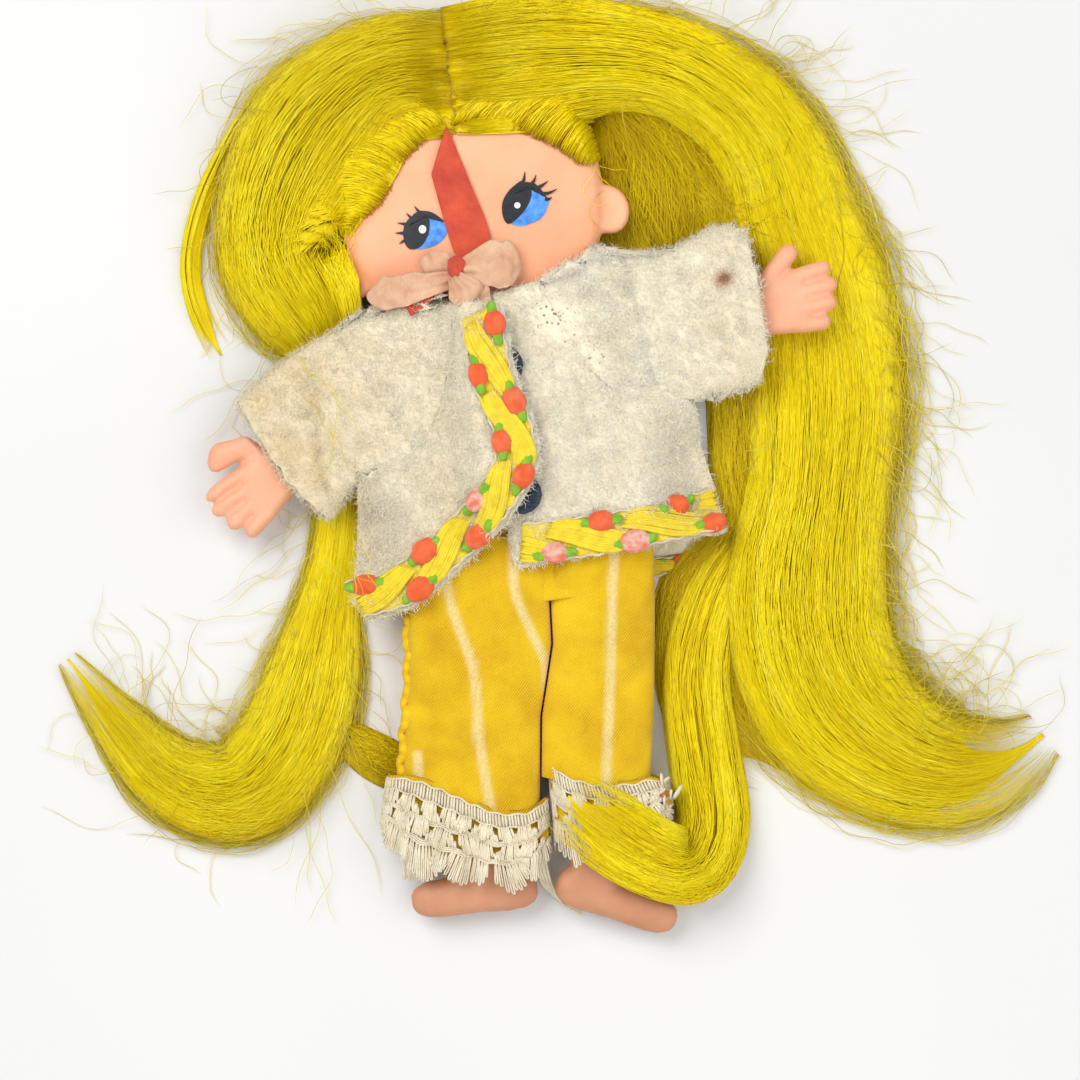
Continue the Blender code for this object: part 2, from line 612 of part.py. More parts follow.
def make_jacket():
    half_lines = [(-1.0, 7.0), (-4.0, 13.5), (-9.0, 17.5), (-18.0, 20.0), (-28.0, 23.0), (-35.0, 25.4)]
    rows = []
    for along, half in half_lines:
        rows.append([world_point(NECK_FRAME, (along, half * (1 - 2 * step / 8), 0.0)) for step in range(9)])
    rows = [[(point.x, point.y, 0.0) for point in row] for row in rows]
    sheet("jacket_back", rows, FLEECE, FLEECE_LOOK)
    front_panel("jacket_front_right", RIGHT_SIDE, RIGHT_EDGE, True)
    front_panel("jacket_front_left", LEFT_SIDE, LEFT_EDGE, False)
    edge_trim("trim_front_right", RIGHT_EDGE[1:-1],
              [(-13, 8), (-12, 4), (-11, 0), (-9, -2), (-11, -4), (-15, -6), (-20, -11), (-24.5, -16)], True)
    hem = [LEFT_EDGE[-1], (9.4, -17.3), (18.1, -15.6), LEFT_SIDE[-1]]
    above = [(-1.4, -8.0), (10.4, -7.0), (18.6, -5.6), (25.4, -3.4)]
    edge_trim("trim_hem_left", hem, above, False)
    back_hem = []
    for step in range(9):
        share = 1 - 2 * step / 8
        first = world_point(NECK_FRAME, (-35.0 - GAP, 25.4 * share, 0.0))
        second = world_point(NECK_FRAME, (-35.0 - GAP - TRIM_WIDTH * 0.5, 25.8 * share, 0.0))
        back_hem.append([(first.x, first.y, 0.0), (second.x, second.y, 0.0)])
    sheet("trim_hem_back", back_hem, TRIM_THICK, TRIM_LOOK)


def make_sleeve(side, root, cuff, seam, armhole):
    """Wide raglan sleeve: a tube from root to cuff, each (upper, lower), and a shoulder from the seam to it."""
    rings = []
    stations = 7
    sides = 16
    for index in range(stations):
        share = index / (stations - 1)
        upper = Vector((*root[0], 0.0)).lerp(Vector((*cuff[0], 0.0)), share)
        lower = Vector((*root[1], 0.0)).lerp(Vector((*cuff[1], 0.0)), share)
        middle = (upper + lower) / 2
        half = (upper - lower) / 2
        ring = []
        for step in range(sides):
            angle = math.tau * step / sides
            across = math.copysign(abs(math.cos(angle)) ** 0.7, math.cos(angle))
            up = math.copysign(abs(math.sin(angle)) ** 0.5, math.sin(angle))
            ring.append(middle + half * across + Vector((0, 0, ARM_MID + SLEEVE_HALF_HEIGHT * up)))
        rings.append(ring)
    tube = shell("sleeve_" + side, rings, FLEECE, FLEECE_LOOK)
    inner = smooth_path([(*point, 0.0) for point in seam], 9)
    outer = smooth_path([(*point, 0.0) for point in armhole], 9)
    grid = []
    for index, (first, last) in enumerate(zip(inner, outer)):
        ahead = inner[min(index + 1, 8)] - inner[max(index - 1, 0)]
        across = Vector((-ahead.y, ahead.x, 0.0)).normalized()
        start = first + across * math.copysign(SEAM_GAP, across.dot(last - first))
        grid.append([start.lerp(last, step / 5) + Vector((0.0, 0.0, PANEL)) for step in range(6)])
    shoulder = sheet("shoulder_" + side, grid, FLEECE, None)
    combine(tube, shoulder, "UNION")


def oval_ring(centre, half_width, half_height, along=0.0, sides=20, wave=0.0, waves=0):
    ring = []
    for step in range(sides):
        angle = math.tau * step / sides
        across = math.copysign(abs(math.cos(angle)) ** 0.75, math.cos(angle)) * half_width
        up = math.copysign(abs(math.sin(angle)) ** 0.33, math.sin(angle)) * half_height
        ripple = 1.0 + wave / half_height * math.cos(waves * angle)
        ring.append(Vector((along, centre + across * (1.0 + (ripple - 1.0) * 0.1), up * ripple)))
    return ring


def make_trousers():
    tall = BODY_THICK / 2 + LEG_CLEAR + CLOTH
    rings = []
    level = math.tan(math.radians(TRUNK_LEAN))
    seat = ((0.47 * TRUNK_LENGTH, 0.0, WAIST_HALF + 2.2, 0.0), (0.62 * TRUNK_LENGTH, 0.0, HIP_HALF + 0.8, 0.0),
            (0.8 * TRUNK_LENGTH, 0.4, HIP_HALF + 2.4, 0.5), (TRUNK_LENGTH - SEAT_SHORT, 0.9, HIP_HALF + 3.4, 1.0))
    for drop, aside, half, levelled in seat:
        ring = oval_ring(aside, half, tall, along=-drop)
        rings.append([point + Vector((level * levelled * point.y, 0.0, 0.0)) for point in ring])
    shell("trousers_seat", rings, CLOTH, TROUSER_LOOK, NECK_FRAME)
    band = [oval_ring(0.0, WAIST_HALF + 2.0, tall, along=along)
            for along in (-0.47 * TRUNK_LENGTH + GAP, -0.47 * TRUNK_LENGTH + GAP + 2.2)]
    shell("waist_elastic", band, CLOTH, TROUSER_LOOK, NECK_FRAME)
    shapes = {"right": ((LEG_TOP, 0.1, 9.6), (14.0, -0.2, 9.8), (28.0, -0.8, 9.9)),
              "left": ((LEG_TOP, 0.6, 7.6), (14.0, 0.5, 7.6), (25.5, 0.3, 7.4))}
    for side, stations in shapes.items():
        frame = HIP_FRAMES[side]
        rings = [oval_ring(shift, half, tall, along=along)
                 for along, shift, half in smooth_stations(stations, 6)]
        shell("trouser_leg_" + side, rings, CLOTH, TROUSER_LOOK, frame)
        start, shift, half = stations[-1]
        rings = []
        for step in range(4):
            share = step / 3
            along = start + GAP + (LACE_END - start - GAP) * share
            rings.append(oval_ring(shift, half + 0.4 * share, tall + 0.2 * share, along=along - THIGH,
                                   sides=32, wave=LACE_WAVE * share, waves=LACE_GATHERS))
        shell("lace_cuff_" + side, rings, LACE, LACE_LOOK, KNEE_FRAMES[side])


def smooth_stations(stations, count):
    rows = smooth_path([(along, 0.0, shift, half) for along, shift, half in stations], count)
    return [(row[0], row[2], row[3]) for row in rows]


def make_snaps():
    """Sewn press studs: a disc with a nub on the under lap, a pierced disc over it under the top lap."""
    for name, place in (("upper", (-4.6, 10.6)), ("lower", (-1.9, -7.9))):
        sides = 18
        profile = [(SNAP_RADIUS * 0.8, 0.0), (SNAP_RADIUS, SNAP_THICK * 0.4), (SNAP_RADIUS * 0.85, SNAP_THICK),
                   (SNAP_NUB + 0.1, SNAP_THICK), (SNAP_NUB, SNAP_THICK + 0.2),
                   (SNAP_NUB * 0.9, SNAP_THICK + GAP + SNAP_THICK * 0.7)]
        rings = [[(place[0] + radius * math.cos(math.tau * step / sides),
                   place[1] + radius * math.sin(math.tau * step / sides), STUD + level) for step in range(sides)]
                 for radius, level in profile]
        loft("snap_stud_" + name, rings, SNAP_LOOK)
        bore = SNAP_NUB + GAP
        profile = [(bore, 0.0), (SNAP_RADIUS * 0.85, 0.0), (SNAP_RADIUS, SNAP_THICK * 0.6),
                   (SNAP_RADIUS * 0.8, SNAP_THICK), (bore, SNAP_THICK)]
        points = [(place[0] + radius * math.cos(math.tau * step / sides),
                   place[1] + radius * math.sin(math.tau * step / sides), SOCKET + level)
                  for radius, level in profile for step in range(sides)]
        faces = ring_faces(len(profile), sides, False)
        last = (len(profile) - 1) * sides
        faces += [(last + step, last + (step + 1) % sides, (step + 1) % sides, step) for step in range(sides)]
        mesh_object("snap_socket_" + name, points, faces, SNAP_LOOK)


def on_face(place):
    """Height just above the face at a point, from the head's own outline and crown."""
    local = HEAD_FRAME.matrix_world.inverted() @ (Vector((place[0], place[1], 0.0)) * MM) / MM
    middle = CHIN_DROP + HEAD_HALF_HEIGHT
    reach = Vector((local.x, local.y - middle))
    share = reach.length / head_radius(math.atan2(reach.y, reach.x))
    return face_level(min(share, 1.0)) + GAP


def make_ribbon():
    """Ribbon tied in a bow at the throat, one end thrown up over the face."""
    strip = smooth_path([(-10.4, 26.9, 0.0), (-9.6, 30.6, 0.0), (-10.6, 37.0, 0.0), (-12.6, 43.4, 0.0)], 9)
    rows = []
    for index, point in enumerate(strip):
        ahead = (strip[min(index + 1, 8)] - strip[max(index - 1, 0)]).normalized()
        across = Vector((-ahead.y, ahead.x, 0.0)) * RIBBON_WIDTH / 2
        slant = ahead * (2.2 if index == 8 else 0.0)
        row = []
        for share in (-1.0, 0.0, 1.0):
            place = point + across * share - slant * share
            row.append((place.x, place.y, on_face(place)))
        rows.append(row)
    sheet("ribbon_long_end", rows, RIBBON, RED_RIBBON)
    base = on_face((-11.0, 24.4))
    for name, start, angle, length in (("right", (-13.4, 22.9), 196.0, 9.0), ("left", (-8.4, 24.4), 4.0, 7.4)):
        ahead = turn(angle)
        across = Vector((-ahead.y, ahead.x, 0.0))
        rings = []
        for share in (-0.5, 0.5):
            ring = []
            for step in range(14):
                turned = math.tau * step / 14
                along = length / 2 * (1 + math.cos(turned))
                blunt = math.copysign(abs(math.sin(turned)) ** 0.6, math.sin(turned))
                up = LOOP_HALF * blunt * (0.75 + 0.25 * along / length)
                wide = RIBBON_WIDTH * (0.6 + 0.4 * along / length)
                place = Vector((*start, 0.0)) + ahead * along + across * (share * wide)
                ring.append(place + Vector((0, 0, base + 1.9 + up)))
            rings.append(ring)
        shell("ribbon_loop_" + name, rings, LOOP, PINK_RIBBON)
    rings = []
    for level, share in ((0.1, 0.6), (0.5, 1.0), (1.5, 1.0), (2.2, 0.65)):
        rings.append([(-10.95 + 2.15 * share * math.cos(math.tau * step / 14),
                       24.1 + 1.95 * share * math.sin(math.tau * step / 14), base + level) for step in range(14)])
    loft("ribbon_knot", rings, RED_RIBBON)
    tail = [(-13.2, 19.6), (-15.4, 18.0), (-17.4, 16.2)]
    rows = []
    for across, along in tail:
        rows.append([(across - 0.95, along + 1.1, TAIL_BASE), (across + 0.95, along - 1.1, TAIL_BASE)])
    sheet("ribbon_short_end", rows, RIBBON, RED_RIBBON)


TAIL_BASE = PANEL + FLEECE + GAP


def make_hair():
    """Rooted hair combed from a centre parting, spread round the doll on the surface it lies on."""
    swollen = head_mesh("head_clearance", None, HEAD_FRAME, swell=GAP + 0.1, cutter=True)
    under = UNDER_SLEEVE
    crown = FACE_RIM + HEAD_DOME + 3.2
    right = lock(["hair_sweep_right", "hair_tail_right"], [
        (-11.9, 53.4, 19.0, crown, 0.0), (-22.0, 51.0, 21.0, crown, 0.0), (-31.0, 44.8, 22.0, crown - 2.0, 0.0),
        (-36.0, 35.4, 19.0, 10.0, 0.0), (-36.6, 26.0, 18.0, 8.0, 0.0), (-33.2, 19.0, 15.0, 5.0, 0.0),
        (-30.2, 14.0, 11.0, under, 0.0), (-28.6, 5.0, 7.5, under, 0.0), (-28.2, -5.8, 6.6, under, 0.0),
        (-29.2, -17.4, 7.2, under, 0.0), (-30.6, -25.0, 8.8, under, 0.0), (-32.2, -33.5, 13.0, 5.5, 0.0),
        (-35.6, -43.5, 14.5, 7.0, 0.0), (-42.8, -51.2, 13.8, 7.0, 0.0), (-52.9, -49.3, 10.9, 6.0, 0.0),
        (-61.6, -40.6, 6.5, 4.0, 0.0), (-68.4, -31.9, 1.6, 1.2, 0.0)], [13, 22])
    left = lock(["hair_sweep_left", "hair_fall_left", "hair_tail_left"], [
        (-11.3, 53.6, 19.0, crown, 0.0), (-1.0, 54.4, 22.0, crown, 0.0), (11.0, 51.6, 25.0, crown - 1.5, 0.0),
        (22.5, 45.6, 26.0, 9.0, 0.0), (31.0, 38.0, 25.0, 5.0, 0.0), (37.4, 29.0, 23.0, under, 0.0),
        (41.4, 18.0, 23.0, under, 0.0), (42.4, 6.0, 23.0, 3.5, 0.0), (41.2, -8.0, 21.0, 7.0, 0.0),
        (39.6, -18.0, 23.5, 7.5, 0.0), (40.0, -29.0, 24.0, 7.5, 0.0), (44.4, -39.0, 23.5, 7.0, 0.0),
        (53.0, -46.0, 20.0, 6.5, 0.0), (62.0, -48.4, 15.0, 5.0, 0.0), (69.0, -46.6, 9.0, 3.5, 0.0),
        (74.4, -43.0, 2.0, 1.2, 0.0)], [11, 12, 12])
    for piece in (right[0], left[0]):
        combine(piece, swollen, "DIFFERENCE")
    lock(["hair_outer_lock_right"], [
        (-45.4, 42.0, 2.0, 1.6, 0.0), (-48.9, 34.8, 2.6, 2.0, 0.0), (-50.6, 26.0, 2.6, 2.0, 0.0),
        (-49.3, 18.9, 2.4, 1.8, 0.0), (-46.4, 13.0, 1.2, 1.0, 0.0)], [8])
    over_cuff = BODY_MID + BODY_THICK / 2 + LEG_CLEAR + CLOTH + LACE_WAVE + GAP
    lock(["hair_curl_left"], [
        (26.0, -20.3, 3.4, 3.0, 0.0), (23.4, -25.0, 4.6, 4.0, 0.0), (22.6, -34.8, 6.0, 5.0, 0.0),
        (25.2, -46.4, 7.3, 6.0, 0.0),
        (27.1, -56.6, 8.0, 6.0, 0.5), (24.6, -63.4, 8.4, 4.0, 5.0), (18.4, -62.0, 9.0, 3.2, over_cuff),
        (10.9, -55.8, 9.0, 3.0, over_cuff), (5.1, -50.8, 4.0, 1.6, over_cuff)], [17])
    lock(["hair_back"], [
        (-11.6, 42.0, 8.0, HAIR_UNDER_HEAD, 0.0), (-9.4, 33.0, 14.0, HAIR_UNDER_HEAD, 0.0),
        (-7.2, 24.0, 9.0, HAIR_UNDER_HEAD, 0.0)], [5])


for old in list(bpy.data.objects):
    bpy.data.objects.remove(old, do_unlink=True)

VINYL = material("vinyl", (0.95, 0.48, 0.28), 0.45)
STEEL = material("steel", (0.55, 0.55, 0.56), 0.35, 1.0)
FLEECE_LOOK = material("fleece", (0.75, 0.69, 0.55), 0.95)
TROUSER_LOOK = material("trouser_cloth", (0.83, 0.55, 0.01), 0.8)
TRIM_LOOK = material("braid", (0.95, 0.75, 0.01), 0.5)
LACE_LOOK = material("lace", (0.78, 0.68, 0.46), 0.9)
RED_RIBBON = material("red_ribbon", (0.6, 0.06, 0.04), 0.5)
PINK_RIBBON = material("pink_ribbon", (0.64, 0.38, 0.31), 0.5)
SNAP_LOOK = material("snap_enamel", (0.03, 0.04, 0.06), 0.4, 0.6)
HAIR = material("hair", (0.83, 0.66, 0.005), 0.4)

NECK_FRAME = frame_empty("neck_bend", NECK, 90.0 + TRUNK_LEAN, BODY_MID)
HEAD_FRAME = frame_empty("head_frame", NECK, HEAD_LEAN, BODY_MID)
HEAD_STUB = frame_empty("head_root", NECK, HEAD_LEAN - 90.0, BODY_MID)
SHOULDER_FRAMES = {"right": frame_empty("shoulder_right", SHOULDER_RIGHT, ARM_ANGLE_RIGHT, ARM_MID),
                   "left": frame_empty("shoulder_left", SHOULDER_LEFT, ARM_ANGLE_LEFT, ARM_MID)}
ELBOW_FRAMES = {side: frame_empty("elbow_" + side, (UPPER_ARM, 0.0), 0.0, 0.0, parent=frame)
                for side, frame in SHOULDER_FRAMES.items()}
HIP_FRAMES = {"right": frame_empty("hip_right", HIP_RIGHT, -90.0, BODY_MID, LEG_DROP),
              "left": frame_empty("hip_left", HIP_LEFT, -90.0, BODY_MID, LEG_DROP)}
KNEE_FRAMES = {side: frame_empty("knee_" + side, (THIGH, 0.0), 0.0, 0.0, parent=frame)
               for side, frame in HIP_FRAMES.items()}

make_head()
torso = make_trunk()
trunk_wires(torso)
make_arm("right", -1.0)
make_arm("left", 1.0)
make_leg("right", FOOT_ANGLE_RIGHT, HEEL_RIGHT)
make_leg("left", FOOT_ANGLE_LEFT, HEEL_LEFT)
make_jacket()
make_sleeve("right", ((-23.8, 15.2), (-26.4, -5.0)), ((-43.5, 5.8), (-29.9, -10.9)), RIGHT_SEAM, RIGHT_ARMHOLE)
make_sleeve("left", ((12.6, 27.6), (23.0, 7.0)), ((30.5, 30.7), (33.4, 8.7)), LEFT_SEAM, LEFT_ARMHOLE)
make_trousers()
make_snaps()
make_ribbon()
make_hair()
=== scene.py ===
"""Bendable flat doll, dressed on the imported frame: hair, jacket, braid, trousers, lace, bow and painted face.

Sizes are millimetres in the frame's own axes: +X the doll's left, +Y towards its head, +Z out of its front.
"""

import math

import bpy
import numpy as np
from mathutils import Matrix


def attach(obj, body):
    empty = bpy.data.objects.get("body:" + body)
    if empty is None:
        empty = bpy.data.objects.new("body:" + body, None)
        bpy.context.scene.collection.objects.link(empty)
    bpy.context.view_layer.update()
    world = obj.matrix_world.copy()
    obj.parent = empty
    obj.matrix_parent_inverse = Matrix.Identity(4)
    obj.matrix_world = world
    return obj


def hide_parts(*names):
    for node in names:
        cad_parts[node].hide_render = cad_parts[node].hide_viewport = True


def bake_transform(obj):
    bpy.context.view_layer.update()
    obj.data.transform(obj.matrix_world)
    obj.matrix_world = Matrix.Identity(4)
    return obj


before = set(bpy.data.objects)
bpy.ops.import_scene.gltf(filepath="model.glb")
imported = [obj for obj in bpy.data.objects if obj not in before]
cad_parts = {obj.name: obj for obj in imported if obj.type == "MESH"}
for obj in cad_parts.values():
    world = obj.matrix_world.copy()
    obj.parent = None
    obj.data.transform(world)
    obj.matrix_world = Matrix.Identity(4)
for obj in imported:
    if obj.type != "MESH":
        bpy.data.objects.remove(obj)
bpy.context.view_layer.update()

MM = 0.001

# The photograph: millimetres for each pixel, its width in pixels, and the pixel at the frame's origin
PIXEL = 0.145
PHOTO_WIDTH = 1080
ORIGIN_PIXEL = (535.0, 440.0)

# Levels and sizes shared with the solids
FLEECE = 1.4            # thickness of the jacket's cloth, and of the trousers'
CLOTH = 0.6
BODY_MID = 5.2          # middle of trunk and legs, and of the arms
ARM_MID = 6.0
PANEL = 9.0             # underside of the jacket's fronts, where the right one laps, and at the side seams
LAP = 12.3
SEAM_LEVEL = 2.2
NECK = np.array((-4.3, 15.3))
TRUNK_LEAN = math.radians(8.0)
TRUNK_AHEAD = np.array((-math.sin(TRUNK_LEAN), math.cos(TRUNK_LEAN)))
TRUNK_RIGHT = np.array((-math.cos(TRUNK_LEAN), -math.sin(TRUNK_LEAN)))
TRUNK_LENGTH = 40.7
HIP_HALF = 14.6
HEAD_LEAN = math.radians(14.5)
HEAD_MIDDLE = 21.0
HEAD_HALF_WIDTH = 19.4
HEAD_HALF_HEIGHT = 19.8
HEAD_POWER = 2.25
FACE_RIM = 8.7
FACE_DOME = 1.3
FACE_EDGE = 0.9         # share of the head where its front starts to round off, over what share, and how deep
FACE_EDGE_WIDTH = 0.12
FACE_EDGE_FALL = 5.5
EAR_RADIUS = 3.6
EAR_TOP = 8.5
EAR_UNDER_HAIR = np.array((-26.5, 23.8))
SHOULDERS = {"right": np.array((-17.6, 8.6)), "left": np.array((10.4, 13.2))}
ARM_WAYS = {side: np.array((math.cos(math.radians(angle)), math.sin(math.radians(angle))))
            for side, angle in (("right", 214.5), ("left", 14.0))}
UPPER_ARM = 11.0
HIPS = {"right": np.array((-8.7, -25.0)), "left": np.array((9.0, -25.0))}
LEG_SLOPE = math.tan(math.radians(1.5))      # fall of the legs towards the feet


def srgb(red, green, blue):
    shares = np.array((red, green, blue)) / 255.0
    return tuple(np.where(shares <= 0.04045, shares / 12.92, ((shares + 0.055) / 1.055) ** 2.4))


def photo_place(across, down):
    """Millimetres in the lying plane at a pixel of the photograph."""
    return np.array(((across - ORIGIN_PIXEL[0]) * PIXEL, (ORIGIN_PIXEL[1] - down) * PIXEL))


def photo_places(*pixels):
    return [photo_place(*pixel) for pixel in pixels]


# Materials

def principled(name, **sockets):
    made = bpy.data.materials.new(name)
    made.use_nodes = True
    shader = made.node_tree.nodes["Principled BSDF"]
    for socket, value in sockets.items():
        shader.inputs[socket.replace("_", " ")].default_value = value
    return made, made.node_tree, shader


def node(tree, kind, **values):
    """Shader node; a value that is a socket is linked, any other is set."""
    made = tree.nodes.new("ShaderNode" + kind)
    for key, value in values.items():
        socket = made.inputs[key.replace("_", " ")]
        if isinstance(value, bpy.types.NodeSocket):
            tree.links.new(value, socket)
        else:
            socket.default_value = value
    return made


def ramp(tree, factor, stops):
    made = tree.nodes.new("ShaderNodeValToRGB")
    tree.links.new(factor, made.inputs[0])
    elements = made.color_ramp.elements
    while len(elements) < len(stops):
        elements.new(0.5)
    for element, (place, colour) in zip(elements, stops):
        element.position = place
        element.color = (*colour, 1.0)
    return made.outputs[0]


def mask(tree, factor, *stops):
    """Factor reshaped by stops of place and strength."""
    return ramp(tree, factor, [(place, (strength, strength, strength)) for place, strength in stops])


def mix(tree, factor, first, second):
    """Colour socket blended towards a plain colour by a factor socket."""
    made = tree.nodes.new("ShaderNodeMix")
    made.data_type = "RGBA"
    tree.links.new(factor, made.inputs[0])
    tree.links.new(first, made.inputs[6])
    made.inputs[7].default_value = (*second, 1.0)
    return made.outputs[2]


def math_node(tree, operation, first, second):
    """Sum on a factor socket and a second one or a number."""
    made = tree.nodes.new("ShaderNodeMath")
    made.operation = operation
    tree.links.new(first, made.inputs[0])
    if isinstance(second, bpy.types.NodeSocket):
        tree.links.new(second, made.inputs[1])
    else:
        made.inputs[1].default_value = second
    return made.outputs[0]


def weighted(tree, first, second, share):
    """Two factors added up, the first by its share and the second by the rest."""
    return math_node(tree, "ADD", math_node(tree, "MULTIPLY", first, share),
                     math_node(tree, "MULTIPLY", second, 1.0 - share))


def coordinates(tree, kind="Object", scale=(1.0, 1.0, 1.0), turn=(0.0, 0.0, 0.0)):
    source = tree.nodes.new("ShaderNodeTexCoord").outputs[kind]
    return node(tree, "Mapping", Vector=source, Scale=scale, Rotation=turn).outputs[0]


def noise(tree, vector, scale, detail=4.0, roughness=0.5):
    return node(tree, "TexNoise", Vector=vector, Scale=scale, Detail=detail, Roughness=roughness).outputs[0]


def waves(tree, vector, **values):
    return node(tree, "TexWave", Vector=vector, **values).outputs["Fac"]


def attribute(tree, name):
    made = tree.nodes.new("ShaderNodeAttribute")
    made.attribute_name = name
    return made.outputs["Fac"]


def lighter(colour, factor):
    return tuple(min(1.0, part * factor) for part in colour)


def coat(tree, shader, colour, height, strength, distance):
    """Give a shader its colour and its fine relief."""
    tree.links.new(colour, shader.inputs["Base Color"])
    relief = node(tree, "Bump", Height=height, Strength=strength, Distance=distance)
    tree.links.new(relief.outputs[0], shader.inputs["Normal"])


def hair_look(name, stops):
    """Silky synthetic fibre; the tone attribute is each strand's own colour, with painted shade laid on it."""
    made, tree, shader = principled(name, Roughness=0.42, Specular_IOR_Level=0.22)
    drift = noise(tree, coordinates(tree), 130.0, 3.0)
    fine = noise(tree, coordinates(tree, "UV", (34.0, 0.9, 1.0)), 1.0, 5.0, 0.62)
    tone = attribute(tree, "tone")
    for field, size in ((drift, 0.45), (fine, 0.6)):
        swing = math_node(tree, "MULTIPLY", math_node(tree, "SUBTRACT", field, 0.5), size)
        tone = math_node(tree, "ADD", tone, swing)
    coat(tree, shader, ramp(tree, tone, stops), fine, 0.35, 0.0002)
    return made


def fleece_look(name, light, dark, aged):
    """Napped cream fleece, with stains, yellowing and worn spots where its attributes say."""
    made, tree, shader = principled(name, Roughness=0.95, Sheen_Weight=0.4, Sheen_Roughness=0.6,
                                    Specular_IOR_Level=0.1)
    place = coordinates(tree)
    broad = noise(tree, place, 210.0, 4.0)
    fine = noise(tree, place, 1600.0, 3.0, 0.65)
    colour = ramp(tree, weighted(tree, broad, fine, 0.6),
                  [(0.3, dark), (0.52, light), (0.75, lighter(light, 1.08))])
    ageing = mask(tree, broad, (0.3, 1.0), (0.7, 0.55))
    patchy = math_node(tree, "MULTIPLY", attribute(tree, "yellow"), ageing)
    colour = mix(tree, patchy, colour, aged)
    colour = mix(tree, attribute(tree, "stain"), colour, srgb(158, 92, 34))
    dots = node(tree, "TexVoronoi", Vector=place, Scale=1250.0).outputs["Distance"]
    holes = mask(tree, dots, (0.1, 1.0), (0.32, 0.0))
    colour = mix(tree, math_node(tree, "MULTIPLY", attribute(tree, "worn"), holes), colour, srgb(112, 84, 60))
    coat(tree, shader, colour, fine, 0.3, 0.0004)
    return made


def vinyl_look(name, light, dark):
    """Soft matt vinyl with faint mottling and grime, rosy where its attribute says."""
    made, tree, shader = principled(name, Roughness=0.48, Subsurface_Weight=0.12, Subsurface_Scale=0.002,
                                    Specular_IOR_Level=0.35)
    place = coordinates(tree)
    broad = noise(tree, place, 90.0, 5.0, 0.6)
    fine = noise(tree, place, 2600.0, 3.0)
    colour = ramp(tree, broad, [(0.3, dark), (0.6, light), (0.85, lighter(light, 1.06))])
    colour = mix(tree, attribute(tree, "blush"), colour, srgb(246, 148, 112))
    coat(tree, shader, colour, fine, 0.12, 0.0002)
    return made


def paint_look(name, light, dark):
    made, tree, shader = principled(name, Roughness=0.35)
    share = noise(tree, coordinates(tree), 900.0, 4.0)
    coat(tree, shader, ramp(tree, share, [(0.35, dark), (0.65, light)]), share, 0.1, 0.0001)
    return made


def thread_look(name, light, dark, roughness, twist=2400.0, faded=None):
    """Spun thread with fine twisted lines; faded is its colour where the fade attribute says it is worn."""
    made, tree, shader = principled(name, Roughness=roughness, Sheen_Weight=0.25)
    place = coordinates(tree)
    share = noise(tree, place, 700.0, 4.0)
    lines = waves(tree, place, Scale=twist, Distortion=6.0, Detail=2.0)
    colour = ramp(tree, weighted(tree, share, lines, 0.7), [(0.25, dark), (0.6, light)])
    if faded:
        wear = mask(tree, share, (0.4, 0.2), (0.6, 1.0))
        patchy = math_node(tree, "MULTIPLY", attribute(tree, "fade"), wear)
        colour = mix(tree, patchy, colour, faded)
    coat(tree, shader, colour, lines, 0.4, 0.0002)
    return made


def trouser_look():
    """Golden twill with printed cream stripes; fine diagonal ribs and faded patches."""
    made, tree, shader = principled("trouser_twill", Roughness=0.78, Sheen_Weight=0.2,
                                    Specular_IOR_Level=0.25)
    place = coordinates(tree)
    ribs = waves(tree, coordinates(tree, "UV", turn=(0.0, 0.0, 0.62)), Scale=0.95, Distortion=0.8, Detail=2.0,
                 Detail_Scale=3.0)
    broad = noise(tree, place, 110.0, 5.0, 0.6)
    colour = ramp(tree, weighted(tree, broad, ribs, 0.8),
                  [(0.25, srgb(200, 148, 2)), (0.5, srgb(228, 184, 4)), (0.75, srgb(240, 204, 26))])
    fuzzy = noise(tree, place, 2200.0, 3.0)
    wear = mask(tree, fuzzy, (0.3, 0.45), (0.6, 1.0))
    stripe = math_node(tree, "MULTIPLY", attribute(tree, "stripe"), wear)
    coat(tree, shader, mix(tree, stripe, colour, srgb(238, 214, 146)), ribs, 0.45, 0.0002)
    return made


def ribbon_look(name, light, dark):
    """Worn woven ribbon: fine cross ribs, faded patches."""
    made, tree, shader = principled(name, Roughness=0.6, Sheen_Weight=0.2, Specular_IOR_Level=0.3)
    ribs = waves(tree, coordinates(tree, "UV"), Scale=1.5, Distortion=0.6)
    warp = waves(tree, coordinates(tree, "UV", turn=(0.0, 0.0, math.pi / 2)), Scale=1.9, Distortion=0.6)
    weave = math_node(tree, "MULTIPLY", ribs, warp)
    fade = noise(tree, coordinates(tree), 260.0, 5.0, 0.65)
    colour = ramp(tree, weighted(tree, fade, weave, 0.8), [(0.25, dark), (0.65, light)])
    coat(tree, shader, colour, weave, 0.5, 0.00015)
    return made


def metal_look(name, light, dark, roughness):
    made, tree, shader = principled(name, Roughness=roughness, Metallic=0.7)
    scratches = noise(tree, coordinates(tree, scale=(1.0, 6.0, 1.0)), 500.0, 5.0, 0.7)
    coat(tree, shader, ramp(tree, scratches, [(0.35, dark), (0.7, light)]), scratches, 0.15, 0.0001)
    return made


def floor_look():
    made, tree, shader = principled("pale_floor", Roughness=0.85)
    share = noise(tree, coordinates(tree), 6.0, 3.0)
    colour = ramp(tree, share, [(0.3, (0.74, 0.73, 0.71)), (0.7, (0.79, 0.78, 0.76))])
    tree.links.new(colour, shader.inputs["Base Color"])
    return made


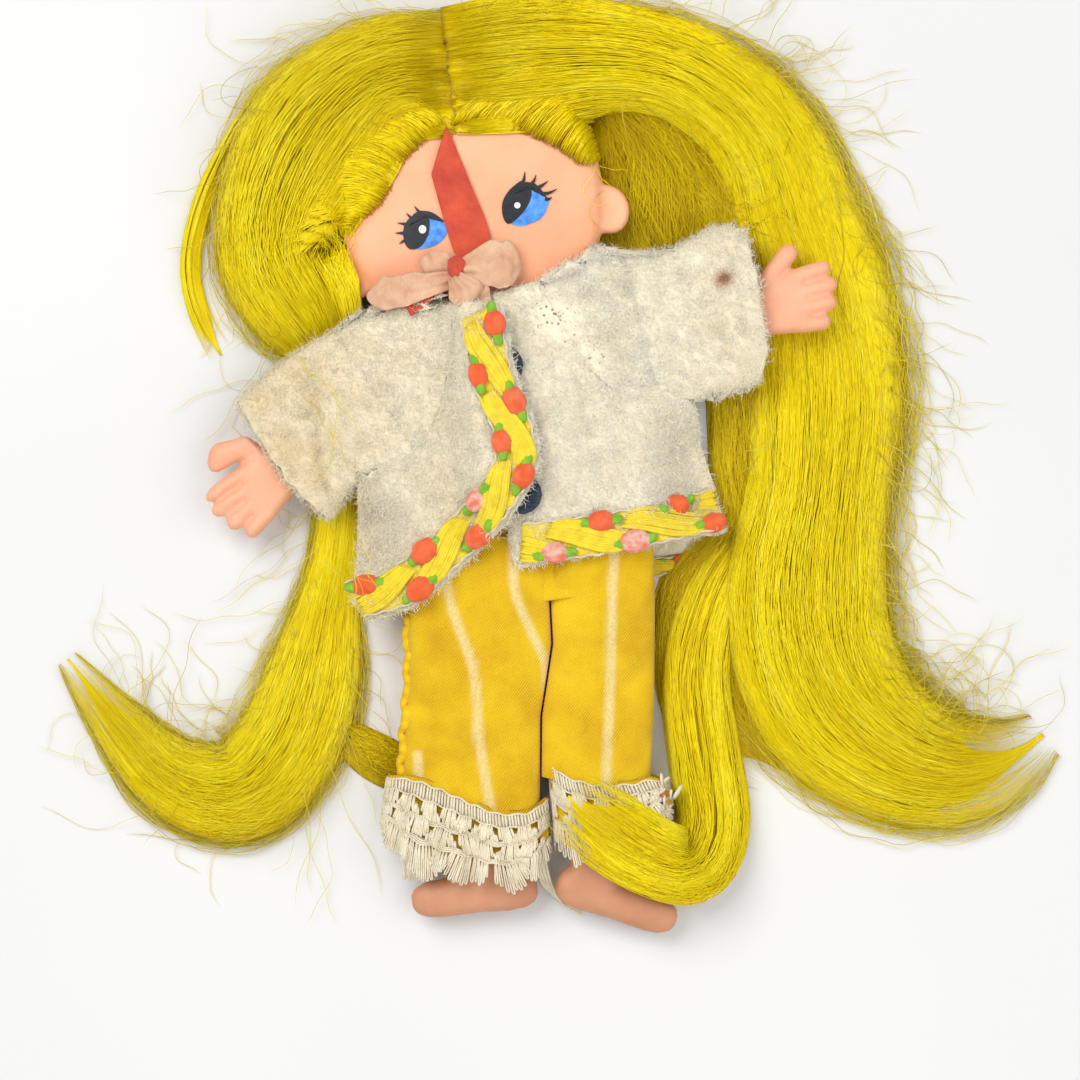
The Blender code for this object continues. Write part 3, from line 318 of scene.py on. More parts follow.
HAIR = hair_look("hair_fibre", [(0.0, srgb(150, 120, 0)), (0.25, srgb(216, 184, 0)), (0.5, srgb(246, 218, 2)),
                                (0.8, srgb(253, 232, 14)), (1.0, srgb(255, 242, 70))])
HAIR_LOOSE = hair_look("hair_loose", [(0.0, srgb(178, 156, 26)), (0.5, srgb(228, 206, 44)),
                                      (1.0, srgb(246, 230, 104))])
# Hair under the streams and behind the leg: the same fibre painted darker, as painted shade
HAIR_SHADED = hair_look("hair_under_shaded", [(0.0, srgb(96, 78, 0)), (0.5, srgb(206, 174, 2)),
                                     (1.0, srgb(240, 214, 20))])
# One fleece in two looks: the pile's wool is painted lighter than the cloth, painted light against the shade
# its fibres cast on each other
FLEECE_CLOTH = fleece_look("fleece_cloth", srgb(242, 230, 204), srgb(234, 220, 192), srgb(222, 198, 148))
FLEECE_WOOL = fleece_look("fleece_wool", srgb(255, 251, 234), srgb(252, 243, 220), srgb(240, 218, 168))
VINYL_FACE = vinyl_look("vinyl_face", srgb(250, 184, 142), srgb(244, 170, 126))
VINYL_HAND = vinyl_look("vinyl_hand", srgb(244, 180, 144), srgb(232, 162, 124))
VINYL_FOOT = vinyl_look("vinyl_foot", srgb(208, 148, 112), srgb(192, 130, 94))
EYE_BLACK = paint_look("eye_black", srgb(34, 34, 42), srgb(18, 18, 24))
EYE_BLUE = paint_look("eye_blue", srgb(96, 166, 240), srgb(52, 122, 214))
EYE_WHITE = paint_look("eye_white", srgb(250, 250, 250), srgb(236, 238, 242))
TROUSER = trouser_look()
LACE = thread_look("lace_cotton", srgb(249, 239, 212), srgb(224, 206, 166), 0.85)
RED_RIBBON = ribbon_look("red_ribbon", srgb(236, 98, 60), srgb(192, 58, 46))
PINK_RIBBON = ribbon_look("faded_ribbon", srgb(240, 200, 164), srgb(210, 152, 116))
TRIM_YELLOW = thread_look("braid_yellow", srgb(252, 230, 28), srgb(226, 184, 6), 0.4)
TRIM_TAPE = thread_look("braid_tape", srgb(238, 226, 190), srgb(206, 186, 130), 0.85)
BERRY = thread_look("braid_berry", srgb(250, 102, 14), srgb(230, 70, 2), 0.45, 5200.0, srgb(240, 196, 180))
LEAF = thread_look("braid_leaf", srgb(146, 204, 28), srgb(96, 156, 12), 0.5)
SNAP = metal_look("snap_enamel", srgb(64, 74, 90), srgb(30, 36, 48), 0.42)
STEEL = metal_look("drawn_steel", srgb(176, 176, 178), srgb(120, 120, 124), 0.34)


# Mesh helpers

TUBE_UP = np.array((0.13, 0.07, 1.0))    # a way that no thin tube runs


def build(name, points, faces, look, uv=None, **attributes):
    """Mesh from arrays in millimetres; faces is an array of corners, or a list of such arrays."""
    groups = [np.asarray(group, dtype=np.int32) for group in (faces if isinstance(faces, list) else [faces])]
    corners = np.concatenate([group.ravel() for group in groups])
    totals = np.concatenate([np.full(len(group), group.shape[1]) for group in groups])
    mesh = bpy.data.meshes.new(name)
    mesh.vertices.add(len(points))
    mesh.vertices.foreach_set("co", (np.asarray(points, dtype=float) * MM).ravel())
    mesh.loops.add(len(corners))
    mesh.loops.foreach_set("vertex_index", corners)
    mesh.polygons.add(len(totals))
    mesh.polygons.foreach_set("loop_start", np.concatenate(([0], np.cumsum(totals)[:-1])).astype(np.int32))
    mesh.update(calc_edges=True)
    if uv is not None:
        layer = mesh.uv_layers.new(name="UVMap")
        layer.data.foreach_set("uv", np.asarray(uv, dtype=float)[corners].ravel())
    for key, values in attributes.items():
        layer = mesh.attributes.new(key, "FLOAT", "POINT")
        layer.data.foreach_set("value", np.asarray(values, dtype=np.float32))
    mesh.shade_smooth()
    mesh.materials.append(look)
    made = bpy.data.objects.new(name, mesh)
    bpy.context.collection.objects.link(made)
    return made


def unit(vectors):
    return vectors / np.maximum(np.linalg.norm(vectors, axis=-1, keepdims=True), 1e-9)


def lifted(flat, level):
    """Places in the lying plane with their levels."""
    return np.concatenate((flat, level[..., None]), axis=-1)


def hump(away, width):
    return np.exp(-(away / width) ** 2)


def bulged(values, power):
    return np.sign(values) * np.abs(values) ** power


def path_length(path):
    return np.linalg.norm(np.diff(path[:, :2], axis=0), axis=1).sum()


def quad_normals(points, quads):
    """Normals of quads, each as long as twice its area."""
    corners = points[quads]
    return np.cross(corners[:, 2] - corners[:, 0], corners[:, 3] - corners[:, 1])


def spline(rows, count):
    """Even points along a smooth curve through rows, by length in the lying plane."""
    rows = np.array(rows, dtype=float)
    before = np.vstack((rows[:1], rows[:-2]))
    after = np.vstack((rows[2:], rows[-1:]))
    share = np.linspace(0.0, 1.0, 24, endpoint=False)[None, :, None]
    start, end = rows[:-1, None, :], rows[1:, None, :]
    before, after = before[:, None, :], after[:, None, :]
    fine = 0.5 * (2 * start + (end - before) * share + (2 * before - 5 * start + 4 * end - after) * share ** 2
                  + (3 * start - before - 3 * end + after) * share ** 3)
    fine = np.vstack((fine.reshape(-1, rows.shape[1]), rows[-1:]))
    length = np.concatenate(([0.0], np.cumsum(np.linalg.norm(np.diff(fine[:, :2], axis=0), axis=1))))
    goal = np.linspace(0.0, length[-1], count)
    return np.stack([np.interp(goal, length, fine[:, column]) for column in range(rows.shape[1])], axis=1)


def sway(places, wavelength, seed, waves=7):
    """Smooth random field over places, about -1 to 1."""
    source = np.random.default_rng(seed)
    total = np.zeros(places.shape[:-1])
    for _ in range(waves):
        way = source.normal(size=places.shape[-1])
        way /= np.linalg.norm(way)
        pitch = math.tau / (wavelength * source.uniform(0.7, 1.5))
        total += np.cos(places @ way * pitch + source.uniform(0, math.tau))
    return total / math.sqrt(waves)


def grid_faces(rows, columns, closed=False):
    """Quads of a grid of points; closed joins the last column to the first."""
    row = np.arange(rows - 1)[:, None]
    step = np.arange(columns if closed else columns - 1)[None, :]
    after = (step + 1) % columns
    return np.stack((row * columns + step, row * columns + after, (row + 1) * columns + after,
                     (row + 1) * columns + step), axis=-1).reshape(-1, 4)


def grid_normals(grid, closed=False):
    if closed:
        around = np.roll(grid, -1, axis=1) - np.roll(grid, 1, axis=1)
    else:
        around = np.gradient(grid, axis=1)
    return unit(np.cross(np.gradient(grid, axis=0), around))


def border_faces(rows, columns, shift):
    """Quads that close the edge between a grid and its copy shift points later."""
    last = (rows - 1) * columns
    edge = list(range(columns)) + [row * columns + columns - 1 for row in range(1, rows)]
    edge += [last + step for step in range(columns - 2, -1, -1)]
    edge = np.array(edge + [row * columns for row in range(rows - 2, 0, -1)])
    after = np.roll(edge, -1)
    return np.stack((after, edge, edge + shift, after + shift), axis=-1)


def cloth_sheet(top, thickness):
    """Closed cloth under a grid of upper points: its points and quads, face up."""
    normals = grid_normals(top)
    if normals[..., 2].mean() < 0:
        normals = -normals
    rows, columns = top.shape[:2]
    under = top - normals * np.asarray(thickness)[..., None]
    quads = grid_faces(rows, columns)
    shift = rows * columns
    points = np.vstack((top.reshape(-1, 3), under.reshape(-1, 3)))
    corner = points[quads[0]]
    if np.cross(corner[1] - corner[0], corner[3] - corner[0])[2] < 0:
        quads = quads[:, ::-1]
        rim = border_faces(rows, columns, shift)
    else:
        rim = border_faces(rows, columns, shift)[:, ::-1]
    return points, np.vstack((quads, quads[:, ::-1] + shift, rim))


def cloth_tube(outer, thickness):
    """Closed cloth tube inside rings of outer points: its points and quads, facing out."""
    rows, columns = outer.shape[:2]
    normals = grid_normals(outer, closed=True)
    middle = outer.mean(axis=1, keepdims=True)
    if (normals * (outer - middle)).sum() < 0:
        normals = -normals
    inner = outer - normals * thickness
    points = np.vstack((outer.reshape(-1, 3), inner.reshape(-1, 3)))
    quads = grid_faces(rows, columns, closed=True)
    first = points[quads[:, 0]]
    facing = np.cross(points[quads[:, 1]] - first, points[quads[:, 3]] - first)
    if (facing * normals[:-1].reshape(-1, 3)).sum() < 0:
        quads = quads[:, ::-1]
    shift = rows * columns
    step = np.arange(columns)
    after = (step + 1) % columns
    ends = [np.stack((start + after, start + step, start + step + shift, start + after + shift), axis=-1)
            for start in (0, shift - columns)]
    ends[1] = ends[1][:, ::-1]
    return points, np.vstack([quads, quads[:, ::-1] + shift] + ends)


def tubes(paths, radii, sides=3):
    """Closed thin tubes along paths (tubes, points, 3): points, triangles and the tube of each point."""
    count, steps = paths.shape[:2]
    ahead = unit(np.gradient(paths, axis=1))
    across = unit(np.cross(ahead, TUBE_UP))
    up = np.cross(across, ahead)
    angles = math.tau * np.arange(sides) / sides
    ring = across[:, :, None, :] * np.cos(angles)[:, None] + up[:, :, None, :] * np.sin(angles)[:, None]
    points = paths[:, :, None, :] + ring * np.broadcast_to(radii, paths.shape[:2])[:, :, None, None]
    quads = grid_faces(steps, sides, closed=True)
    triangles = np.vstack((quads[:, (0, 3, 2)], quads[:, (0, 2, 1)]))
    caps = [(0, step, step + 1) for step in range(1, sides - 1)]
    last = (steps - 1) * sides
    caps += [(last, last + step + 1, last + step) for step in range(1, sides - 1)]
    triangles = np.vstack((triangles, np.array(caps)))
    all_triangles = (triangles[None] + (np.arange(count) * steps * sides)[:, None, None]).reshape(-1, 3)
    return points.reshape(-1, 3), all_triangles, np.repeat(np.arange(count), steps * sides)


def strand_piece(name, paths, radii, look, tones, sides=3):
    points, triangles, owner = tubes(paths, radii, sides)
    steps = paths.shape[1]
    along = np.tile(np.repeat(np.linspace(0.0, 1.0, steps), sides), len(paths))
    uv = np.stack((owner * 0.37, along * 8.0), axis=-1)
    tones = np.broadcast_to(np.asarray(tones, float).reshape(len(paths), -1), (len(paths), steps))
    return build(name, points, triangles, look, uv, tone=np.repeat(tones.ravel(), sides))


def cord_piece(name, paths, radius, look, sides):
    """Threads or cords of one thickness and tone."""
    return strand_piece(name, paths, radius, look, np.full(len(paths), 0.5), sides)


def fuzz_paths(points, quads, count, length, seed, keep):
    """Short bent fibres lying over on a surface, as paths of three points; some stand up longer."""
    source = np.random.default_rng(seed)
    corners = points[quads]
    first = quad_normals(points, quads)
    area = np.linalg.norm(first, axis=1) * keep
    chosen = source.choice(len(quads), size=count, p=area / area.sum())
    one, two = source.random((2, count, 1))
    corner = corners[chosen]
    root = (corner[:, 0] * (1 - one) * (1 - two) + corner[:, 1] * one * (1 - two)
            + corner[:, 2] * one * two + corner[:, 3] * (1 - one) * two)
    normal = unit(first[chosen])
    way = source.normal(size=(count, 3))
    way = unit(way - normal * (way * normal).sum(axis=1, keepdims=True))
    side = np.cross(normal, way)
    size = length * source.uniform(0.5, 1.25, (count, 1))
    stand = np.where(source.random((count, 1)) < STANDING, STAND_UP, LIE_OVER)
    bend = source.uniform(-0.5, 0.5, (count, 1))
    return np.stack((root - normal * FIBRE_ROOT, root + (normal * stand + way * 0.35) * size,
                     root + (normal * stand * 1.2 + way + side * bend) * size), axis=1)


def part_of(points, faces, wanted):
    """Part of a cloth tube, cut on both sides as wanted for its outer faces: its points, its faces with the
    cut edge closed, and which of the tube's points they are."""
    shift = len(points) // 2
    wanted = wanted.copy()
    wanted[(faces >= shift).all(axis=1)] = wanted[(faces < shift).all(axis=1)]
    kept = faces[wanted]
    starts, ends = kept.ravel(), np.roll(kept, -1, axis=1).ravel()
    cut = ~np.isin(starts * len(points) + ends, ends * len(points) + starts)
    cut = cut & (starts < shift) & (ends < shift)
    rim = np.stack((ends[cut], starts[cut], starts[cut] + shift, ends[cut] + shift), axis=-1)
    closed = np.vstack((kept, rim))
    used, corners = np.unique(closed, return_inverse=True)
    return points[used], corners.reshape(closed.shape), used


def copy_smooth(node_name, piece_name, voxel, smoothing, look):
    """A smoothed copy of a solid's mesh for moulded vinyl."""
    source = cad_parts[node_name]
    made = bpy.data.objects.new(piece_name, source.data.copy())
    bpy.context.collection.objects.link(made)
    remesh = made.modifiers.new("remesh", "REMESH")
    remesh.mode = "VOXEL"
    remesh.voxel_size = voxel * MM
    smooth = made.modifiers.new("smooth", "SMOOTH")
    smooth.factor = 0.5
    smooth.iterations = smoothing
    depsgraph = bpy.context.evaluated_depsgraph_get()
    mesh = bpy.data.meshes.new_from_object(made.evaluated_get(depsgraph))
    made.modifiers.clear()
    made.data = mesh
    mesh.materials.clear()
    mesh.materials.append(look)
    mesh.shade_smooth()
    return made


# Places on the doll

ARMPIT_LAPPED = -17.0   # along the trunk: where a front starts to fall to its side seam, lapped and plain
ARMPIT_PLAIN = -12.0
ARMPIT_EASE = 8.0       # length over which that fall comes in
SIDE_FROM = 1.0         # past the hips: where it starts, and over what length it runs
SIDE_EASE = 9.0
HEM_FROM = 0.66         # share of the trunk where it weakens, over what length, and by how much
HEM_EASE = 6.0
HEM_WEAKER = 0.75
LAP_FROM = 10.0         # to the doll's right: where the right front starts to rise, and over what length
LAP_EASE = 5.0


def trunk_local(places):
    """Distance along the trunk from the neck bend, and to the doll's right, of places in the lying plane."""
    away = places[..., :2] - NECK
    return away @ TRUNK_AHEAD, away @ TRUNK_RIGHT


def ease(share):
    share = np.clip(share, 0.0, 1.0)
    return share * share * (3.0 - 2.0 * share)


def panel_level(places, lap):
    """Underside of a jacket front over the trunk: flat, falling to the side seam, raised at the lap."""
    along, right = trunk_local(places)
    armpit = ARMPIT_LAPPED if lap else ARMPIT_PLAIN
    fall = ease((np.abs(right) - HIP_HALF - SIDE_FROM) / SIDE_EASE) * ease((armpit - along) / ARMPIT_EASE)
    fall = fall * (1.0 - HEM_WEAKER * ease((-along - HEM_FROM * TRUNK_LENGTH) / HEM_EASE))
    rise = ease((LAP_FROM - right) / LAP_EASE) if lap else 0.0
    return PANEL + (SEAM_LEVEL - PANEL) * fall + (LAP - PANEL) * rise


def head_share(places):
    """Place on the head as a share of the way from its middle to its outline."""
    away = places[..., :2] - NECK
    across = away[..., 0] * math.cos(HEAD_LEAN) + away[..., 1] * math.sin(HEAD_LEAN)
    along = -away[..., 0] * math.sin(HEAD_LEAN) + away[..., 1] * math.cos(HEAD_LEAN) - HEAD_MIDDLE
    return ((np.abs(across) / HEAD_HALF_WIDTH) ** HEAD_POWER
            + (np.abs(along) / HEAD_HALF_HEIGHT) ** HEAD_POWER) ** (1.0 / HEAD_POWER)


def face_level(places):
    """Height of the head's front and of the ear that hair covers; 0 beside the head."""
    share = head_share(places)
    rim = np.clip((share - FACE_EDGE) / FACE_EDGE_WIDTH, 0.0, 1.0)
    level = FACE_RIM + FACE_DOME * (1.0 - np.minimum(share, 1.0) ** 2) - FACE_EDGE_FALL * rim ** 2
    level = np.where(share < FACE_EDGE + FACE_EDGE_WIDTH, level, 0.0)
    away = np.linalg.norm(places[..., :2] - EAR_UNDER_HAIR, axis=-1)
    return np.maximum(level, np.where(away < EAR_RADIUS + 0.3, EAR_TOP - 0.5 * (away / EAR_RADIUS) ** 4, 0.0))


# Camera, light and floor

VIEW_WIDTH = PHOTO_WIDTH * PIXEL
VIEW_CENTRE = photo_place(PHOTO_WIDTH / 2, PHOTO_WIDTH / 2)
CAMERA_HEIGHT = 620.0
VIEW_LEVEL = 6.0        # level at which the view is as wide as the photograph
SENSOR = 36.0
FLOOR_HALF = 900.0
FLOOR_LEVEL = -0.05
LIGHTS = [              # name, place, size, watts
    ("key", (-260.0, 240.0, 520.0), 420.0, 2.9),
    ("fill", (320.0, -60.0, 460.0), 520.0, 1.3),
    ("low", (0.0, -420.0, 300.0), 420.0, 0.7)]
SKY_COLOUR = (0.9, 0.94, 1.0, 1.0)
SKY_STRENGTH = 0.36

floor_corners = [(x * FLOOR_HALF, y * FLOOR_HALF, FLOOR_LEVEL)
                 for x, y in ((-1, -1), (1, -1), (1, 1), (-1, 1))]
floor = build("floor", np.array(floor_corners), np.array([(0, 1, 2, 3)]), floor_look())

camera_data = bpy.data.cameras.new("camera")
camera_data.sensor_width = SENSOR
camera_data.lens = SENSOR * (CAMERA_HEIGHT - VIEW_LEVEL) / VIEW_WIDTH
camera_data.clip_end = 10.0
camera = bpy.data.objects.new("camera", camera_data)
camera.location = (VIEW_CENTRE[0] * MM, VIEW_CENTRE[1] * MM, CAMERA_HEIGHT * MM)
bpy.context.collection.objects.link(camera)
bpy.context.scene.camera = camera

for name, place, size, power in LIGHTS:
    lamp = bpy.data.lights.new(name, "AREA")
    lamp.size = size * MM
    lamp.energy = power
    light = bpy.data.objects.new(name, lamp)
    light.location = [part * MM for part in place]
    aim = np.array((*VIEW_CENTRE, 0.0)) - np.array(place)
    tilt = math.atan2(math.hypot(aim[0], aim[1]), -aim[2])
    light.rotation_euler = (tilt, 0.0, math.atan2(aim[1], aim[0]) - math.pi / 2)
    bpy.context.collection.objects.link(light)

world = bpy.data.worlds.new("soft_world")
world.use_nodes = True
sky = world.node_tree.nodes["Background"]
sky.inputs["Color"].default_value = SKY_COLOUR
sky.inputs["Strength"].default_value = SKY_STRENGTH
bpy.context.scene.world = world
bpy.context.scene.view_settings.view_transform = "Standard"


# Vinyl figure

# Right hand: places on the plain moulded hand, and where the photo has them: arched thumb, deep slit
HAND_SHAPE = [
    ((-48.2, -7.1), (-47.7, -8.3)), ((-41.4, -13.4), (-40.9, -14.2)), ((-47.0, -9.8), (-46.8, -10.4)),
    ((-44.5, -12.2), (-44.0, -13.1)), ((-46.8, -2.0), (-47.5, -3.0)), ((-45.7, -3.3), (-46.2, -4.8)),
    ((-43.5, -0.6), (-43.9, 0.1)), ((-41.6, -0.9), (-41.6, 0.6)), ((-44.9, -3.4), (-44.5, -4.0)),
    ((-44.3, -3.5), (-43.2, -3.1)), ((-44.1, -3.7), (-42.4, -3.1)), ((-44.3, -4.1), (-42.7, -3.9)),
    ((-45.1, -4.7), (-44.1, -4.9)), ((-46.3, -5.4), (-45.6, -6.0)), ((-47.5, -6.2), (-46.9, -7.1)),
    ((-46.2, -1.1), (-46.7, -1.3)), ((-40.9, -6.7), (-40.9, -7.1)), ((-37.5, -10.4), (-37.2, -10.4)),
    ((-39.8, -1.4), (-39.8, -0.6)), ((-38.5, -3.4), (-38.5, -3.1)), ((-34.9, -7.9), (-34.9, -7.7)),
    ((-37.3, -6.2), (-37.3, -6.4))]
HAND_FROM = 11.5        # elbow to where the hand's own shape begins, and has wholly begun
HAND_FULL = 15.0
PLATE_GIVE = 0.4        # how freely the bent plate may miss these places

# Moulded pieces: the solid, the piece, the size of its mesh, rounds of smoothing, look
MOULDED = [("head", "face", 0.45, 6, VINYL_FACE),
           ("forearm_right", "hand_right", 0.3, 4, VINYL_HAND),
           ("forearm_left", "hand_left", 0.3, 4, VINYL_HAND),
           ("shin_right", "foot_right", 0.36, 6, VINYL_FOOT),
           ("shin_left", "foot_left", 0.36, 6, VINYL_FOOT)]
CHEEKS = photo_places((400.0, 278.0), (556.0, 244.0))
CHEEK_RADIUS = 4.0
BLUSH = 0.3


def bent_plate(places, pairs):
    """Shift of places in the plane, as a bent thin plate through pairs of places gives it."""
    start = np.array([pair[0] for pair in pairs])
    shift = np.array([pair[1] for pair in pairs]) - start

    def swell(one, two):
        apart = ((one[:, None] - two[None]) ** 2).sum(axis=-1) + 1e-9
        return apart * np.log(apart)

    count = len(start)
    flat = np.column_stack((np.ones(count), start))
    table = np.zeros((count + 3, count + 3))
    table[:count, :count] = swell(start, start) + PLATE_GIVE * np.eye(count)
    table[:count, count:] = flat
    table[count:, :count] = flat.T
    weights = np.linalg.solve(table, np.vstack((shift, np.zeros((3, 2)))))
    flat = np.column_stack((np.ones(len(places)), places))
    return swell(places, start) @ weights[:count] + flat @ weights[count:]


def shape_hand(places):
    """Shift of the right forearm's points that gives the hand its moulded shape."""
    along = (places[:, :2] - SHOULDERS["right"]) @ ARM_WAYS["right"] - UPPER_ARM
    share = ease((along - HAND_FROM) / (HAND_FULL - HAND_FROM))
    return bent_plate(places[:, :2], HAND_SHAPE) * share[:, None]


def inner_look(name):
    """Look of a solid that is shown as it is: a wire, a press stud or the vinyl under the clothes."""
    if "wire" in name:
        return STEEL
    if name.startswith("snap"):
        return SNAP
    if name == "torso" or name.startswith(("upper_arm", "thigh")):
        return VINYL_FOOT
    return None


def make_vinyl():
    for name, piece, voxel, smoothing, look in MOULDED:
        made = copy_smooth(name, piece, voxel, smoothing, look)
        places = np.empty(len(made.data.vertices) * 3)
        made.data.vertices.foreach_get("co", places)
        places = places.reshape(-1, 3) / MM
        if name == "forearm_right":
            places[:, :2] += shape_hand(places)
            made.data.vertices.foreach_set("co", (places * MM).ravel())
        blush = np.zeros(len(places))
        if name == "head":
            for centre in CHEEKS:
                away = ((places[:, :2] - centre) ** 2).sum(axis=1)
                blush += BLUSH * np.exp(-away / (2 * CHEEK_RADIUS ** 2))
        layer = made.data.attributes.new("blush", "FLOAT", "POINT")
        layer.data.foreach_set("value", blush.astype(np.float32))
        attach(made, name)
        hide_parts(name)
    for name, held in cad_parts.items():
        look = inner_look(name)
        if look is not None:
            held.data.materials.clear()
            held.data.materials.append(look)


def decal(name, outline, lift, look):
    """Painted shape on the face: a thin skin that follows its crown."""
    outline = np.array(outline, dtype=float)
    middle = outline.mean(axis=0)
    rings = 5
    points = [middle[None]]
    for ring in range(1, rings + 1):
        points.append(middle + (outline - middle) * ring / rings)
    flat = np.vstack(points)
    solid = np.column_stack((flat, face_level(flat) + lift))
    count = len(outline)
    step = np.arange(count)
    after = (step + 1) % count
    fan = np.stack((np.zeros(count, int), 1 + step, 1 + after), axis=-1)
    quads = np.vstack([np.stack((1 + ring * count + step, 1 + (ring + 1) * count + step,
                                 1 + (ring + 1) * count + after, 1 + ring * count + after), axis=-1)
                       for ring in range(rings - 1)])
    corner = solid[fan[0]]
    if np.cross(corner[1] - corner[0], corner[2] - corner[0])[2] < 0:
        fan, quads = fan[:, ::-1], quads[:, ::-1]
    made = build(name, solid, [fan, quads], look)
    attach(made, "head")
    return made


def oval(centre, half_width, half_height, count=16):
    steps = np.linspace(0.0, math.tau, count, endpoint=False)
    return np.column_stack((centre[0] + half_width * np.cos(steps), centre[1] + half_height * np.sin(steps)))


def smooth_outline(rows, count=60):
    """Closed smooth outline through a few corner points."""
    rows = np.array(rows, dtype=float)
    return spline(np.vstack((rows, rows[:1])), count + 1)[:-1]


def brush_line(rows, widths, count=12):
    """Outline of a tapering brush stroke through points."""
    path = spline(rows, count)
    ahead = unit(np.gradient(path, axis=0))
    across = np.stack((-ahead[:, 1], ahead[:, 0]), axis=-1)
    half = np.interp(np.linspace(0, 1, count), np.linspace(0, 1, len(widths)), widths)[:, None] / 2
    return np.vstack((path + across * half, (path - across * half)[::-1]))


# Painted eyes, in pixels: outlines of iris and pupil, glint with its half width and height, lid and lashes
EYES = {
    "left": {
        "blue": ((515, 195), (530, 189), (547, 200), (548, 208),
                 (540, 221), (521, 228), (510, 224), (508, 212)),
        "pupil": ((521, 183), (531, 191), (530, 203), (521, 217),
                  (509, 226), (503, 218), (503, 204), (510, 192)),
        "glint": ((517.5, 207.5), 0.45, 0.45),
        "strokes": [((512, 196), (522, 187), (535, 188), (546, 199)), ((521, 189), (524, 182), (525, 174)),
                    ((529, 189), (534, 183), (536, 177)), ((536, 191), (543, 187), (548, 183)),
                    ((541, 196), (549, 195), (557, 191)), ((545, 201), (549, 201), (552, 199))]},
    "right": {
        "blue": ((418, 217), (432, 219), (446, 227), (447, 236),
                 (438, 246), (420, 251), (408, 246), (404, 232)),
        "pupil": ((424, 214), (430, 222), (429, 236), (422, 248),
                  (411, 251), (405, 243), (405, 228), (413, 218)),
        "glint": ((423.2, 231.3), 0.55, 0.6),
        "strokes": [((408, 228), (418, 216), (432, 216), (445, 224)), ((424, 217), (419, 213), (415, 208)),
                    ((416, 222), (411, 219), (407, 215)), ((411, 228), (405, 226), (398, 225)),
                    ((408, 235), (402, 235), (396, 235)), ((410, 241), (404, 243), (400, 246))]}}
LID_WIDTHS = (0.25, 0.6, 0.5, 0.15)
LASH_WIDTHS = (0.6, 0.4, 0.08)
IRIS_LIFT = 0.10        # layers of paint over the face
PUPIL_LIFT = 0.16
STROKE_LIFT = 0.19
GLINT_LIFT = 0.22


def make_eyes():
    for side, eye in EYES.items():
        name = "eye_%s_" % side
        decal(name + "blue", smooth_outline(photo_places(*eye["blue"])), IRIS_LIFT, EYE_BLUE)
        decal(name + "pupil", smooth_outline(photo_places(*eye["pupil"])), PUPIL_LIFT, EYE_BLACK)
        centre, half_width, half_height = eye["glint"]
        decal(name + "glint", oval(photo_place(*centre), half_width, half_height), GLINT_LIFT, EYE_WHITE)
    for side, eye in EYES.items():
        for index, row in enumerate(eye["strokes"]):
            outline = brush_line(photo_places(*row), LASH_WIDTHS if index else LID_WIDTHS)
            decal("eye_%s_stroke_%d" % (side, index), outline, STROKE_LIFT + 0.01 * index, EYE_BLACK)


# Hair

CROWN = FACE_RIM + FACE_DOME + 3.2
UNDER_SLEEVE = 1.6
PATH_STEPS = 220
ROUNDNESS = 0.375        # power of a stream's rounded section
LOCK_RISE = 1.5          # how far hair lying on the face stands off it
CORE_END = 0.84          # share of a stream where its heart starts to thin out
CLUMP = 14               # strands in a combed clump
FRINGE_HAIR = 0.055      # radii of hairs at a stream's edges, at the edge of the face, and of loose ones
ROOTED_HAIR = 0.075
LOOSE_HAIR = 0.05

# Loose hairs stay in this part of the table
LOOSE_LOW = np.array((-75.0, -77.0))
LOOSE_HIGH = np.array((81.0, 70.5))
LOOSE_SLOPE = 0.8        # steepest fall of a loose hair over an edge
JACKET_HALF = 27.0       # part of the jacket that they lie on: to either side, and along the trunk
JACKET_SPAN = (-38.0, 6.0)

# Each hair stream: places along its middle, width, height and, where it isn't 0, its underside's level
RIGHT_STREAM = [
    (-12.3, 53.4, 19.0, CROWN - 0.6), (-22.4, 51.8, 19.4, CROWN), (-30.4, 44.5, 23.8, CROWN - 1.6),
    (-35.4, 35.8, 21.4, 11.6), (-37.2, 27.0, 18.0, 9.8), (-33.0, 19.2, 16.6, 6.4),
    (-30.2, 14.0, 11.0, UNDER_SLEEVE), (-28.6, 5.0, 7.5, UNDER_SLEEVE), (-28.2, -5.8, 6.6, UNDER_SLEEVE),
    (-29.2, -17.4, 7.6, UNDER_SLEEVE), (-30.6, -25.0, 9.6, 2.6), (-32.2, -33.5, 13.4, 5.5),
    (-35.6, -43.5, 15.0, 7.0), (-42.8, -51.2, 14.6, 7.0), (-52.9, -49.3, 11.4, 6.0),
    (-61.6, -40.6, 7.0, 4.0), (-68.4, -31.9, 2.6, 1.2)]
LEFT_STREAM = [
    (-12.7, 53.6, 19.0, CROWN - 0.6), (-1.0, 55.0, 20.5, CROWN), (9.5, 55.6, 17.4, CROWN - 1.5),
    (19.5, 54.2, 15.4, 11.0), (28.2, 49.4, 15.8, 8.5), (34.4, 42.2, 16.8, 5.5),
    (37.8, 33.0, 18.8, 2.2), (40.6, 23.5, 21.0, UNDER_SLEEVE), (42.0, 13.5, 22.6, UNDER_SLEEVE),
    (42.4, 5.0, 23.0, 3.8), (41.2, -8.0, 21.0, 7.0), (39.6, -18.0, 23.5, 7.5),
    (40.0, -29.0, 24.0, 7.5), (44.4, -39.0, 23.5, 7.0), (53.0, -46.0, 20.0, 6.5),
    (62.0, -48.4, 16.0, 5.0), (69.0, -46.6, 11.0, 3.5), (74.4, -43.0, 6.0, 1.2)]
